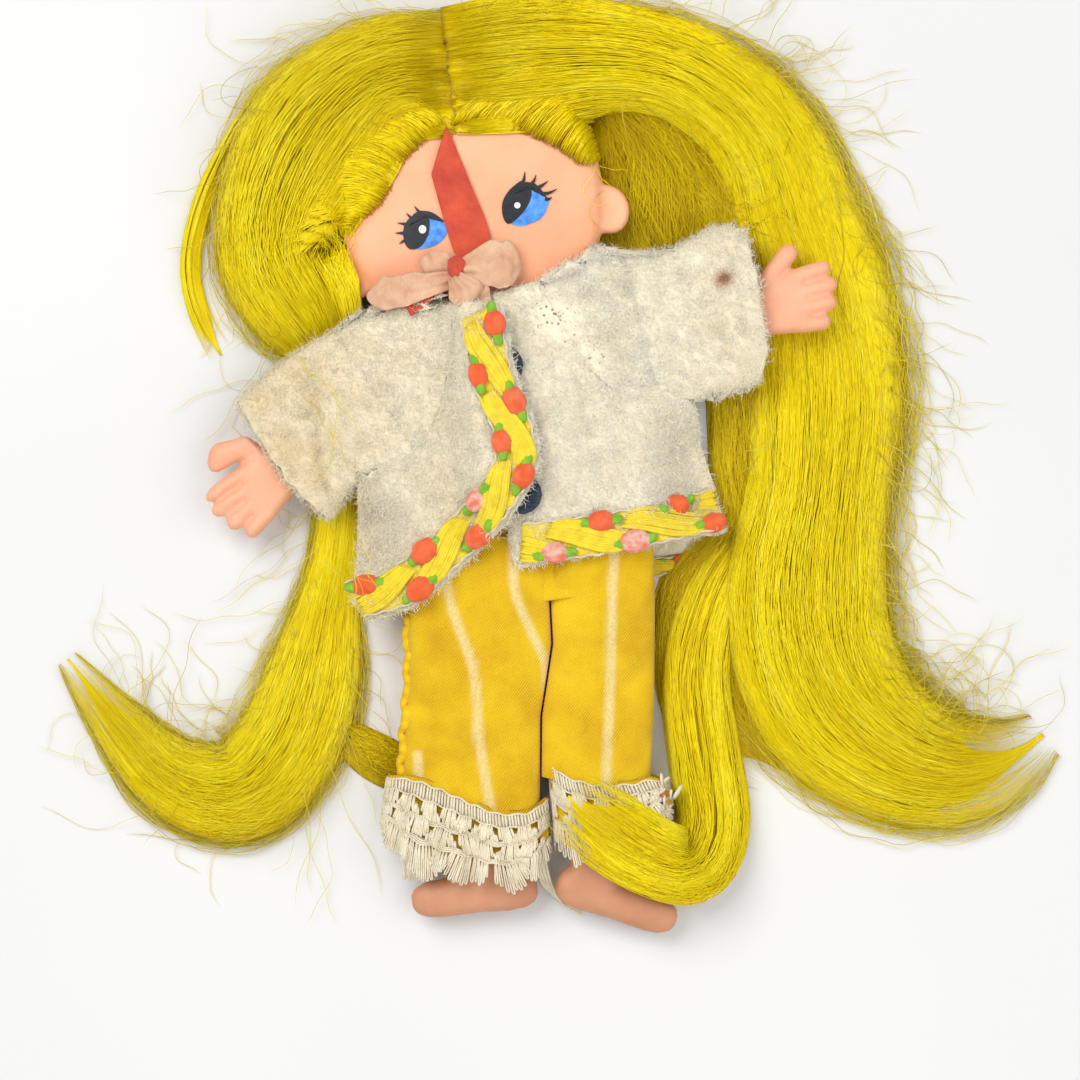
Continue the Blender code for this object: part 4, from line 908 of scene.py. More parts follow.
UNDER_STREAM = [
    (11.0, 49.4, 9.0, 6.0), (15.4, 44.0, 16.6, 5.0), (18.6, 37.0, 22.4, 4.0),
    (21.5, 29.0, 24.0, 2.4), (27.0, 20.0, 19.0, UNDER_SLEEVE), (31.0, 10.0, 13.0, 1.8),
    (31.5, 2.0, 12.0, 1.8), (31.7, -6.0, 12.0, 2.4), (32.0, -13.0, 13.0, 2.8),
    (27.8, -22.5, 18.6, 2.4), (25.6, -31.0, 16.6, 2.2), (28.0, -41.0, 15.0, 2.2),
    (36.0, -48.0, 8.0, 1.8)]
CURL = [
    (33.5, -12.0, 5.0, 2.0), (28.4, -18.0, 8.0, 3.0), (25.0, -26.0, 9.6, 4.0), (23.6, -35.0, 10.0, 5.4),
    (24.9, -46.4, 10.4, 6.4), (26.0, -56.0, 10.6, 6.4, 0.4), (23.2, -61.6, 10.8, 4.6, 4.6),
    (17.4, -60.4, 11.0, 3.4, 9.3), (10.6, -56.2, 11.4, 3.0, 9.4), (4.6, -51.6, 9.0, 1.6, 9.5)]
OUTER_LOCK = [
    (-32.5, 55.0, 1.4, 4.0), (-40.6, 49.6, 1.8, 2.6), (-45.2, 42.4, 2.4, 2.2), (-48.6, 34.8, 2.9, 2.2),
    (-50.4, 26.0, 2.9, 2.2), (-49.2, 18.9, 3.0, 2.0), (-46.0, 12.6, 3.6, 1.2)]
BEHIND_LEG = [
    (-31.0, -40.5, 4.0, 2.6), (-27.0, -43.8, 5.6, 2.0), (-23.0, -46.4, 6.8, 1.2),
    (-18.6, -48.6, 6.6, 0.5)]
BACK_HAIR = [(-11.6, 42.0, 8.0, 1.9), (-9.4, 33.0, 14.0, 1.9), (-7.2, 24.0, 9.0, 1.9)]

# Hairs rooted along the edge of the face: roots, places they rise towards, and where they join a stream
HAIRLINES = {
    "right": {
        "roots": [(-12.6, 45.2), (-16.0, 42.8), (-19.7, 38.9), (-22.0, 34.1), (-27.5, 29.9)],
        "turns": [(-15.4, 49.4), (-21.0, 46.4), (-25.8, 41.2), (-28.0, 35.2), (-31.0, 30.2)],
        "ends": [(-23.5, 49.8), (-30.0, 44.0), (-33.4, 37.6), (-34.6, 31.0), (-34.8, 25.6)]},
    "left": {
        "roots": [(-12.0, 45.2), (-6.0, 45.3), (-2.2, 44.2), (2.7, 42.2), (6.9, 39.5),
                  (9.6, 40.8), (11.6, 42.6)],
        "turns": [(-9.4, 50.2), (-3.2, 49.4), (1.0, 48.6), (6.2, 47.2), (10.6, 44.8),
                  (12.8, 45.6), (14.2, 47.2)],
        "ends": [(0.0, 52.5), (5.0, 52.6), (9.0, 52.0), (13.6, 51.0), (17.6, 50.4),
                 (19.6, 50.8), (21.0, 51.4)]}}
HAIRLINE_RISE = 2.0      # how high these hairs rise off the face
PARTING_DIP = 1.3        # depth and width of the crease where the two streams part
PARTING_WIDTH = 0.75
HOLLOW = np.array((-30.6, 28.6))     # dent beside the cheek where the hair turns under
HOLLOW_RADIUS = 2.5
HOLLOW_DEPTH = 3.6


# Share of the hollow at places: it dents the hair, and the hair's tone is painted darker there as shade
def hollow_share(places):
    return np.exp(-((places[..., :2] - HOLLOW) ** 2).sum(axis=-1) / HOLLOW_RADIUS ** 2)


def stream_path(stations, count=PATH_STEPS):
    return spline([(*station, 0.0)[:5] for station in stations], count)


def over_face(places, gap):
    """Level a little over the face; 0 beside it."""
    return np.where(head_share(places) < 1.0, face_level(places) + gap, 0.0)


def stream_points(path, station, across, layer, over_head=True):
    """Points in a hair stream: station is a share of its length, across -1 to 1, layer 1 at its surface."""
    steps = np.arange(PATH_STEPS)
    reach = station * (PATH_STEPS - 1)
    columns = [np.interp(reach, steps, path[:, column]) for column in range(5)]
    middle_x, middle_y, width, height, base = columns
    slope = unit(np.gradient(path[:, :2], axis=0))
    x = middle_x - np.interp(reach, steps, slope[:, 1]) * across * width / 2
    y = middle_y + np.interp(reach, steps, slope[:, 0]) * across * width / 2
    level = base + height * np.maximum(1.0 - across ** 2, 0.0) ** ROUNDNESS * layer
    places = np.stack((x, y), axis=-1)
    if over_head:
        lock = LOCK_RISE * np.maximum(1.0 - across ** 4, 0.0) ** 0.5
        level = np.maximum(level, face_level(places) + (0.35 + lock * (head_share(places) < 1.0)) * layer)
        crease = hump(station * path_length(path), PARTING_WIDTH) * (head_share(places) < 1.1)
        lowest = np.maximum(face_level(places) + 0.08, base)
        level = np.maximum(level - PARTING_DIP * crease - HOLLOW_DEPTH * hollow_share(places), lowest)
    return lifted(places, level)


def core(name, stations, rows, columns, seed, look=HAIR, over_head=True):
    """Solid heart of a hair stream, ridged into combed clumps."""
    path = stream_path(stations)
    steps = np.arange(PATH_STEPS)
    along = np.linspace(0.0, 1.0, rows)[:, None]
    across = np.cos(np.linspace(math.pi, 0.0, columns))[None, :] * np.ones((rows, 1))
    length = path_length(path)
    reach = along * (PATH_STEPS - 1)
    side = across * np.interp(reach, steps, path[:, 2]) / 2
    field = np.stack((side, np.repeat(along * length, columns, axis=1) / 16.0), axis=-1)
    ridge = sway(field, 3.4, seed) * 0.5 + sway(field, 1.5, seed + 1) * 0.25
    ridge = ridge + sway(field, 0.7, seed + 2) * 0.12
    path[:, 2:4] *= 1.0 - 0.9 * ease((steps / (PATH_STEPS - 1) - CORE_END) / (1.0 - CORE_END))[:, None]
    top = stream_points(path, along * np.ones_like(across), across, 0.92 * np.ones_like(across), over_head)
    height = np.interp(reach, steps, path[:, 3])
    top[..., 2] += (ridge - 0.9) * (1.0 - across ** 8) * np.minimum(0.6, height * 0.12)
    under = top.copy()
    under[..., 2] = np.interp(reach, steps, path[:, 4]) * np.ones_like(across)
    if over_head:
        top[..., 2] = np.maximum(top[..., 2], over_face(top, 0.05))
        under[..., 2] = np.maximum(under[..., 2], over_face(under, 0.04))
    top[..., 2] = np.maximum(top[..., 2], under[..., 2])
    ring = np.concatenate((top, under[:, -2:0:-1]), axis=1)
    count = ring.shape[1]
    caps = []
    for start in (0, (rows - 1) * count):
        for step in range(1, columns - 2):
            caps.append((start + step, start + step + 1, start + count - step - 1, start + count - step))
    uv_side = np.concatenate((side, side[:, -2:0:-1]), axis=1)
    uv = np.stack((uv_side.ravel() / 10.0, np.repeat(along * length / 10.0, count, axis=1).ravel()), axis=-1)
    # Painted shade: the heart is darker than the strands over it, lighter on its ridges, darker in their
    # furrows and darkest underneath
    tone = 0.48 + 0.16 * np.concatenate((ridge, -np.ones_like(ridge[:, -2:0:-1])), axis=1)
    # Painted shade in the hollow by the cheek and, over the head, in the crease at the parting
    tone = tone - 0.4 * hollow_share(ring)
    if over_head:
        tone = tone - 0.35 * np.exp(-along * length / PARTING_WIDTH)
    faces = [grid_faces(rows, count, closed=True), np.array(caps)]
    return build(name, ring.reshape(-1, 3), faces, look, uv, tone=tone.ravel())


def combed(stations, count, steps, seed, start=(0.0, 0.03), stop=(0.78, 1.0), mess=1.0, over_head=True):
    """Strand paths that follow a hair stream in clumps, and each strand's tone."""
    source = np.random.default_rng(seed)
    path = stream_path(stations)
    clumps = max(count // CLUMP, 3)
    owner = source.integers(0, clumps, count)
    first = source.uniform(*start, count)[:, None]
    last = source.uniform(*stop, count)[:, None]
    station = first + (last - first) * np.linspace(0.0, 1.0, steps)[None, :]
    across = np.sin(source.uniform(-1.5, 1.5, clumps))[owner][:, None]
    across = across + source.normal(0.0, 0.05, count)[:, None]
    clump_wave = source.uniform(0, math.tau, clumps)[owner][:, None]
    own_wave = source.uniform(0, math.tau, count)[:, None]
    across = across + 0.06 * np.sin(station * 14.0 + clump_wave)
    across = across + 0.025 * mess * np.sin(station * 37.0 + own_wave)
    across = across + source.normal(0.0, 0.09 * mess, count)[:, None] * np.maximum(station - 0.4, 0.0) * 2.0
    across = across + source.normal(0.0, 0.2, count)[:, None] * (mess - 1.0) * (station - 0.3)
    across = np.clip(across, -1.04, 1.04)
    layer = source.uniform(0.9, 1.06, count)[:, None] * np.ones((1, steps))
    paths = stream_points(path, station, across, layer, over_head)
    paths[..., 2] += np.abs(np.sin(station * 60.0 + own_wave)) * 0.1 + 0.06
    tones = 0.68 + 0.1 * source.normal(size=clumps)[owner] + 0.1 * source.normal(size=count)
    # Painted shade: darker where the strands leave the parting crease, and in the hollow by the cheek
    roots = 0.5 * np.exp(-station * path_length(path) / PARTING_WIDTH) + 0.12 * np.exp(-station / 0.02)
    return paths, np.clip(tones[:, None] - (roots + 0.5 * hollow_share(paths)), 0.04, 0.98)


def taper(count, steps, radius, seed):
    source = np.random.default_rng(seed)
    shape = np.minimum(1.0, np.minimum(np.linspace(0.35, 6.0, steps), np.linspace(7.0, 0.15, steps)))
    return radius * source.uniform(0.75, 1.25, (count, 1)) * shape[None, :]


def neck_blend(piece):
    """Hair that runs from the scalp past the neck; its placing is baked into its mesh."""
    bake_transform(piece)


def left_blend(piece):
    """Hair on the doll's left, which the sleeve lies on; its placing is baked into its mesh."""
    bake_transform(piece)


def curl_blend(piece):
    """The curl lies on the left cuff; its placing is baked into its mesh."""
    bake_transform(piece)


def lying(piece):
    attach(piece, "torso")


def stream_blend(label):
    return neck_blend if label.startswith("right") else left_blend


def on_head(piece):
    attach(piece, "head")


def make_stream(label, stations, count, seed, nodes, place, look=HAIR, size=(190, 90), steps=30, radius=0.07,
                mess=1.0, batches=1, over_head=True, **ends):
    """A stream's heart and its combed strands, placed on the doll by the function given."""
    heart = core("hair_%s_core" % label, stations, *size, seed, look, over_head)
    place(heart)
    if nodes:
        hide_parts(*nodes)
    for batch in range(batches):
        paths, tones = combed(stations, count // batches, steps, seed + 20 + batch, mess=mess,
                              over_head=over_head, **ends)
        radii = taper(len(paths), steps, radius, seed + 40 + batch)
        place(strand_piece("hair_%s_strands_%d" % (label, batch), paths, radii, look, tones))


def fringe(label, stations, count, seed, sides, span=(0.0, 0.9), steps=20):
    """Crinkled finer hairs along the edges of a stream."""
    source = np.random.default_rng(seed)
    path = stream_path(stations)
    each = (count, 1)
    share = np.linspace(0.0, 1.0, steps)[None, :]
    station = np.minimum(source.uniform(*span, each) + source.uniform(0.08, 0.2, each) * share, 1.0)
    edge = source.choice(sides, each)
    out = source.uniform(0.86, 1.06, each)
    stray = source.uniform(0.0, 0.34, each)
    across = edge * (out + stray * np.sin(math.pi * share * source.uniform(0.5, 1.0, each)))
    crinkle = source.uniform(14.0, 30.0, each)
    across = across + 0.035 * np.sin(share * crinkle + source.uniform(0, 6.28, each))
    inside = stream_points(path, station, np.clip(across, -0.99, 0.99), np.ones_like(across))
    outside = stream_points(path, station, across, np.ones_like(across))
    settle = np.clip(1.0 - (np.abs(across) - 0.98) * 6.0, 0.0, 1.0)
    outside[..., 2] = np.maximum(outside[..., 2], inside[..., 2] * settle) + source.uniform(0.12, 0.9, each)
    tones = np.clip(source.normal(0.5, 0.22, count), 0.05, 1.0)
    radii = taper(count, steps, FRINGE_HAIR, seed + 1)
    stream_blend(label)(strand_piece("hair_%s_fringe" % label, outside, radii, HAIR_LOOSE, tones))


def hairline(side, count, seed, steps=18):
    """Hairs rooted along the edge of the face, rising off it and turning into the stream above."""
    source = np.random.default_rng(seed)
    place = source.uniform(0.0, 1.0, count)
    ends = []
    for key, stray in (("roots", 0.2), ("turns", 0.35), ("ends", 1.0)):
        line = spline(HAIRLINES[side][key], 80)
        along = np.linspace(0.0, 1.0, len(line))
        flat = np.stack([np.interp(place, along, line[:, axis]) for axis in (0, 1)], axis=-1)[:, None]
        ends.append(flat + source.normal(0.0, stray, (count, 1, 2)))
    root, turn, end = ends
    share = np.linspace(0.0, 1.0, steps)[None, :, None]
    flat = (1 - share) ** 2 * root + 2 * share * (1 - share) * turn + share ** 2 * end
    share = share[..., 0]
    full = np.sin(np.minimum(share / 0.22, 1.0) * math.pi / 2)
    rise = 0.1 + HAIRLINE_RISE * source.uniform(0.82, 1.06, (count, 1)) * full
    level = np.maximum(face_level(flat) + rise, (cover_level(flat) + 0.2) * (share > 0.25))
    # Each hair's own tone, painted darker towards its root as shade where it rises off the face
    tones = np.clip(source.normal(0.66, 0.13, (count, 1)) - 0.42 * np.exp(-share / 0.16), 0.06, 0.98)
    radii = taper(count, steps, ROOTED_HAIR, seed + 1)
    on_head(strand_piece("hair_%s_hairline" % side, lifted(flat, level), radii, HAIR, tones))


def wiry(label, stations, count, seed, sides, span=(0.0, 0.95), length=(8.0, 26.0), look=HAIR_LOOSE,
         lowest=-100.0, steps=24):
    """Loose curling hairs that leave a stream and lie on whatever is under them."""
    source = np.random.default_rng(seed)
    path = stream_path(stations)
    each = (count, 1)
    station = source.uniform(*span, count)
    edge = source.choice(sides, count)
    root = stream_points(path, station, edge * source.uniform(0.6, 0.95, count), np.ones(count))
    slope = unit(np.gradient(path[:, :2], axis=0))
    ahead = slope[(station * (PATH_STEPS - 1)).astype(int)]
    heading = np.arctan2(ahead[:, 1], ahead[:, 0]) + edge * np.radians(source.uniform(8.0, 62.0, count))
    share = np.linspace(0.0, 1.0, steps)[None, :]
    bend = source.normal(0.0, 0.9, each) * share + source.normal(0.0, 0.6, each) * np.sin(share * 5.0)
    crinkle = source.uniform(9.0, 20.0, each)
    bend = bend + 0.22 * np.sin(share * crinkle + source.uniform(0, 6.28, each))
    turned = heading[:, None] + bend
    step = source.uniform(*length, each) / steps
    flat = np.cumsum(np.stack((np.cos(turned) * step, np.sin(turned) * step), axis=-1), axis=1)
    flat = flat - flat[:, :1] + root[:, None, :2]
    fall = root[:, 2:] * (1.0 - ease(share * 1.8)) + source.uniform(0.15, 1.2, each)
    level = np.maximum(fall, face_level(flat) + 0.25)
    level = np.maximum(level, cover_level(flat) + 0.3)
    for index in range(1, steps):
        level[:, index] = np.maximum(level[:, index], level[:, index - 1] - LOOSE_SLOPE * step[:, 0])
    for index in range(steps - 2, -1, -1):
        level[:, index] = np.maximum(level[:, index], level[:, index + 1] - LOOSE_SLOPE * step[:, 0])
    held = ((flat > LOOSE_LOW) & (flat < LOOSE_HIGH)).all(axis=(1, 2))
    held = held & (flat[..., 1].min(axis=1) > lowest) & (head_share(flat[:, -1]) > 0.97)
    paths = lifted(flat, level)[held]
    tones = np.clip(source.normal(0.55, 0.25, len(paths)), 0.05, 1.0)
    radii = taper(len(paths), steps, LOOSE_HAIR, seed + 1)
    stream_blend(label)(strand_piece("hair_%s_wiry" % label, paths, radii, look, tones))


def cover_level(flat):
    """Rough height of what a loose hair lies on beside the head: the jacket and the streams."""
    level = np.zeros(flat.shape[:-1])
    for stations in (RIGHT_STREAM, LEFT_STREAM, CURL):
        path = stream_path(stations, 60)
        away = np.linalg.norm(flat[..., None, :] - path[:, :2], axis=-1)
        nearest = away.argmin(axis=-1)
        share = np.clip(away.min(axis=-1) / (path[nearest, 2] / 2), 0.0, 1.0)
        here = path[nearest, 4] * (share < 1.0) + path[nearest, 3] * (1.0 - share ** 2) ** ROUNDNESS
        level = np.maximum(level, here)
    along, right = trunk_local(flat)
    jacket = (np.abs(right) < JACKET_HALF) & (along > JACKET_SPAN[0]) & (along < JACKET_SPAN[1])
    return np.maximum(level, np.where(jacket, LAP + FLEECE, 0.0))


def make_hair():
    make_stream("right", RIGHT_STREAM, 1350, 100, ("hair_sweep_right", "hair_tail_right"), neck_blend,
                steps=26, radius=0.06, batches=2)
    make_stream("left", LEFT_STREAM, 1800, 200, ("hair_sweep_left", "hair_fall_left", "hair_tail_left"),
                left_blend, steps=26, radius=0.06, batches=3)
    make_stream("under", UNDER_STREAM, 560, 250, (), left_blend, HAIR_SHADED, (120, 40), 22, 0.055, mess=4.0,
                over_head=False)
    fringe("right", RIGHT_STREAM, 170, 300, (-1.0,))
    fringe("right_inner", RIGHT_STREAM, 90, 305, (1.0,), (0.5, 0.9))
    fringe("left", LEFT_STREAM, 220, 310, (1.0,), (0.05, 0.9))
    fringe("left_inner", LEFT_STREAM, 130, 320, (-1.0,), (0.3, 0.9))
    wiry("right", RIGHT_STREAM, 170, 330, (-1.0,), length=(6.0, 22.0))
    wiry("right_inner", RIGHT_STREAM, 40, 335, (1.0,), (0.5, 0.95))
    wiry("left", LEFT_STREAM, 380, 340, (1.0,), length=(5.0, 22.0))
    wiry("left_inner", LEFT_STREAM, 40, 350, (-1.0,), (0.15, 0.6), (5.0, 14.0))
    wiry("hollow", UNDER_STREAM, 520, 360, (-0.4, 0.4, -1.0, 1.0), (0.04, 0.4), (4.0, 12.0), HAIR, 26.5)
    wiry("right_cheek", RIGHT_STREAM, 120, 365, (1.0,), (0.17, 0.24), (3.0, 8.0), HAIR)
    hairline("right", 620, 370)
    hairline("left", 680, 380)
    make_stream("curl", CURL, 520, 400, ("hair_curl_left",), curl_blend, size=(90, 44), steps=24, mess=1.3,
                start=(0.0, 0.05), stop=(0.82, 1.02))
    make_stream("outer", OUTER_LOCK, 110, 500, ("hair_outer_lock_right",), on_head, size=(40, 16), steps=22,
                radius=0.06, start=(0.0, 0.05), stop=(0.8, 1.0))
    make_stream("behind_leg", BEHIND_LEG, 150, 540, (), lying, HAIR_SHADED, (30, 18), 16, 0.06, mess=2.4,
                over_head=False)
    back = core("hair_back_core", BACK_HAIR, 30, 24, 600, over_head=False)
    on_head(back)
    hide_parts("hair_back")


# Jacket

STAIN = photo_place(722.0, 281.0)
STAIN_RADIUS = 1.25
WORN = [(photo_place(548.0, 312.0), 3.4), (photo_place(566.0, 330.0), 2.6), (photo_place(596.0, 360.0), 2.2)]
UPPER_SIDE = 7.0        # level over which cloth shows stains and wear

# Wool of the fleece
JACKET_PILE = 1.15      # length of a fibre
FIBRE = 0.045           # its thickness at the root, and where it bends
FIBRE_BEND = 0.035
FIBRE_ROOT = 0.08       # how deep it is rooted
STANDING = 0.15         # share of fibres that stand up, how far they do, and how far the others
STAND_UP = 0.8
LIE_OVER = 0.4

# Outlines of the sewn jacket: fronts from the raglan seam to the opening edge, collar first
RIGHT_SEAM = [(-11.8, 19.6), (-12.0, 14.5), (-12.6, 9.5), (-13.6, 5.0), (-16.5, -0.5), (-24.6, -5.2)]
RIGHT_EDGE = [(-4.8, 19.8), (-3.7, 14.8), (-2.4, 8.6), (0.2, 2.0), (0.7, -3.2), (-0.7, -7.0), (-4.4, -12.4),
              (-10.6, -18.6), (-17.2, -24.0), (-24.4, -26.2)]
LEFT_SEAM = [(0.4, 22.8), (3.2, 17.8), (5.6, 14.0), (7.8, 10.2), (12.6, 6.6), (22.2, 5.6)]
LEFT_EDGE = [(-6.6, 20.8), (-7.2, 15.0), (-7.6, 8.0), (-7.8, 0.0), (-5.4, -9.0), (-2.4, -18.6)]
RIGHT_SIDE = RIGHT_SEAM + [(-25.6, -11.0), (-25.9, -17.0), (-26.4, -23.4)]
LEFT_SIDE = LEFT_SEAM + [(24.4, -1.6), (26.4, -8.0), (27.4, -13.4)]
SLEEVES = {
    "right": {"seam": RIGHT_SEAM,
              "upper": [(-11.8, 19.6), (-17.0, 19.8), (-23.2, 18.4), (-29.7, 15.4),
                        (-36.5, 11.4), (-43.2, 5.4)],
              "lower": [(-24.6, -5.2), (-26.4, -6.8), (-28.0, -9.0), (-29.6, -11.4)],
              "cuff": [(-43.2, 5.4), (-39.8, 0.4), (-37.0, -4.2), (-33.2, -8.6), (-29.6, -11.4)]},
    "left": {"seam": LEFT_SEAM,
             "upper": [(0.4, 22.8), (4.5, 25.4), (8.6, 26.9), (13.5, 26.8), (17.8, 26.8), (22.5, 28.9),
                       (26.4, 31.0), (30.4, 30.6)],
             "lower": [(22.2, 5.6), (25.0, 6.4), (29.0, 7.0), (32.4, 8.4)],
             "cuff": [(30.4, 30.6), (31.6, 25.0), (32.8, 18.0), (33.4, 12.5), (32.4, 8.4)]}}
FRONT_LENGTH = 46.0     # of the fronts, from collar to hem
BACK_LINE = [(-1.0, 7.0), (-4.0, 13.5), (-9.0, 17.5), (-18.0, 20.0), (-28.0, 23.0), (-35.0, 25.4)]
UNDER_FROM = 0.4        # share of the way to the cuff where a sleeve's underside starts
SLEEVE_RISE = 4.1       # top and underside of a sleeve, from the arm's middle
SLEEVE_DROP = 3.75
SLEEVE_FOLD = 0.72      # share of the way to the cuff where the sleeve creases
SHOULDER_BEND = (-3.0, 4.5)     # along the arm: where the span round the shoulder starts and ends, and that round the elbow
ELBOW_BEND = (UPPER_ARM - 4.5, UPPER_ARM + 3.0)
GUSSET_FROM = 0.4       # share of the raglan seam, from the neck, where the gusset under the arm starts
GUSSET_TOP = 0.15       # its folded depth at rest, below the underside of the jacket's front
GUSSET_END = 0.95
GUSSET_ROWS = 14
UNDERARM_FROM = 0.72    # share of the raglan seam where the sleeve is closed below the arm
UNDERARM_ROWS = 12
WALL = 0.25             # thickness of gusset and underarm


def stained(places):
    away = ((places[..., :2] - STAIN) ** 2).sum(axis=-1)
    return 0.9 * np.exp(-(away / STAIN_RADIUS ** 2) ** 1.4) * (places[..., 2] > UPPER_SIDE)


def yellowed(places):
    """Age: the right front a little, the right sleeve more towards the hand, the left cuff faintly."""
    aged = 0.25 * ease((-places[..., 0] - 2.0) / 8.0) + 0.5 * ease((-places[..., 0] - 20.0) / 16.0)
    return aged + 0.2 * ease((places[..., 0] - 20.0) / 8.0)


def worn(places):
    total = np.zeros(places.shape[:-1])
    for centre, reach in WORN:
        total += np.exp(-((places[..., :2] - centre) ** 2).sum(axis=-1) / (2 * (reach * 0.7) ** 2))
    return np.clip(total, 0.0, 1.0) * (places[..., 2] > UPPER_SIDE)


def front_level(flat, lap):
    """Underside of a jacket front, lying over the trunk and, at the collar, over the chin."""
    return np.maximum(panel_level(flat, lap), face_level(flat) + 0.4)


def pile(name, points, quads, count, seed, keep):
    """Bent wool fibres lying over on cloth; keep is the share of fibres kept at each face."""
    paths = fuzz_paths(points, quads, count, JACKET_PILE, seed, keep)
    across = unit(np.cross(paths[:, 2] - paths[:, 0], np.array((0.2, 0.3, 1.0))))
    up = unit(np.cross(across, paths[:, 2] - paths[:, 0]))
    angles = math.tau * np.arange(3) / 3
    ring = across[:, None] * np.cos(angles)[:, None] + up[:, None] * np.sin(angles)[:, None]
    made = np.concatenate((paths[:, :1] + ring * FIBRE, paths[:, 1:2] + ring * FIBRE_BEND, paths[:, 2:]),
                          axis=1)
    base = np.array([(0, 3, 4), (0, 4, 1), (1, 4, 5), (1, 5, 2), (2, 5, 3), (2, 3, 0),
                     (3, 6, 4), (4, 6, 5), (5, 6, 3)])
    own = made.shape[1]
    faces = (base[None] + own * np.arange(count)[:, None, None]).reshape(-1, 3)
    return build(name, made.reshape(-1, 3), faces, FLEECE_WOOL, stain=np.repeat(stained(paths[:, 0]), own),
                 yellow=np.repeat(yellowed(paths[:, 0]), own), worn=np.zeros(own * count))


def fleece_piece(name, points, quads, fibres, seed, place, nodes=(), open_below=0.0):
    """One piece of fleece and its pile; a tube's inside, which faces up below a level, stays bare."""
    made = build(name, points, quads, FLEECE_CLOTH, stain=stained(points), yellow=yellowed(points),
                 worn=worn(points))
    middles = points[quads].mean(axis=1)
    facing = unit(quad_normals(points, quads))[:, 2]
    shown = np.where(facing > -0.2, 1.0, 0.35 * (middles[:, 2] < open_below))
    shown = shown * ((facing < 0.2) | (middles[:, 2] > open_below))
    shown = shown * (1.0 - 0.9 * worn(middles)) * (middles[:, 2] > 0.9)
    fuzz = pile(name + "_pile", points, quads, fibres, seed, shown)
    for piece in (made, fuzz):
        place(piece)
    if nodes:
        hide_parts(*nodes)
    return made, fuzz


def front_grid(side, centre, lap, seed, rows=90, columns=56):
    """A front's upper points between its side and its opening edge, and its thickness at each."""
    sides, centres = spline(side, rows), spline(centre, rows)
    share = np.linspace(0.0, 1.0, columns)[None, :, None]
    flat = sides[:, None, :] * (1 - share) + centres[:, None, :] * share
    wide = np.linalg.norm(centres - sides, axis=1)[:, None]
    down = np.linspace(0.0, 1.0, rows)[:, None] * FRONT_LENGTH
    edge = np.minimum((1 - share[..., 0]) * wide, np.minimum(down, FRONT_LENGTH - down) + 0.3)
    fold = 0.42 * sway(flat, 15.0, seed) + 0.2 * sway(flat, 6.0, seed + 1)
    fold = fold * (1.0 - np.exp(-np.minimum(edge, share[..., 0] * wide) / 4.0))
    soft = 1.0 - np.exp(-edge / 0.7)
    level = front_level(flat, lap) + FLEECE * (0.5 + 0.5 * soft) + fold
    ragged = 0.14 * sway(flat, 2.2, seed + 2)[..., None] * np.exp(-edge / 0.8)[..., None]
    return lifted(flat + ragged, level), FLEECE * (0.45 + 0.5 * soft)


def ride_torso(piece):
    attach(piece, "torso")


def collar_blend(piece):
    """The collar lies on the chin; its placing is baked into its mesh."""
    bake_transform(piece)


def make_jacket():
    for label, side, centre, lap, seed, count in (("right", RIGHT_SIDE, RIGHT_EDGE, True, 700, 13000),
                                                  ("left", LEFT_SIDE, LEFT_EDGE, False, 710, 14000)):
        top, thick = front_grid(side, centre, lap, seed)
        points, quads = cloth_sheet(top, thick)
        made, fuzz = fleece_piece("jacket_front_%s_cloth" % label, points, quads, count, seed + 3,
                                  collar_blend, ("jacket_front_" + label,))
    lines = spline(BACK_LINE, 50)
    share = np.linspace(1.0, -1.0, 60)
    wide = (lines[:, 1, None] * share[None, :])[..., None]
    flat = NECK + lines[:, 0, None, None] * TRUNK_AHEAD + wide * TRUNK_RIGHT
    level = FLEECE * 0.9 + 0.05 * sway(flat, 6.0, 720)
    top = lifted(flat, level)
    points, quads = cloth_sheet(top, np.full(level.shape, FLEECE * 0.7))
    made, fuzz = fleece_piece("jacket_back_cloth", points, quads, 6000, 722, ride_torso, ("jacket_back",))


def patch(upper, lower, start, end, steps, share):
    """Smooth surface in the plane between four edge lines: rows start to end, columns upper to lower."""
    upper, lower = spline(upper, steps)[:, None], spline(lower, steps)[:, None]
    start, end = spline(start, len(share))[None], spline(end, len(share))[None]
    across = share[None, :, None]
    along = np.linspace(0.0, 1.0, steps)[:, None, None]
    ruled = (1 - across) * upper + across * lower
    first = start - ((1 - across) * start[:, :1] + across * start[:, -1:])
    last = end - ((1 - across) * end[:, :1] + across * end[:, -1:])
    return ruled + (1 - along) * first + along * last


def fleece_wall(name, wall):
    """Thin bare piece of fleece on a grid of places."""
    points, quads = cloth_sheet(wall, np.full(wall.shape[:2], WALL))
    made = build(name, points, quads, FLEECE_CLOTH, stain=stained(points), yellow=yellowed(points),
                 worn=np.zeros(len(points)))
    return made


def make_gusset(side, seam):
    """Fleece folded small below a raglan seam's lower half."""
    shape = (GUSSET_ROWS, len(seam))
    level = np.broadcast_to(PANEL - np.linspace(GUSSET_TOP, GUSSET_END, GUSSET_ROWS)[:, None], shape)
    made = fleece_wall("sleeve_%s_gusset" % side, lifted(np.broadcast_to(seam, (*shape, 2)), level))
    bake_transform(made)
    return made


def make_underarm(side, seam, under):
    """Wall of fleece that closes the sleeve below the arm, from the raglan seam to its underside."""
    reach = np.linspace(0.0, 1.0, UNDERARM_ROWS)[:, None, None]
    seam = np.column_stack((seam, np.full(len(seam), PANEL - GUSSET_END)))
    made = fleece_wall("sleeve_%s_underarm" % side, seam[None] * (1 - reach) + under[None] * reach)
    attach(made, "upper_arm_" + side)
    return made


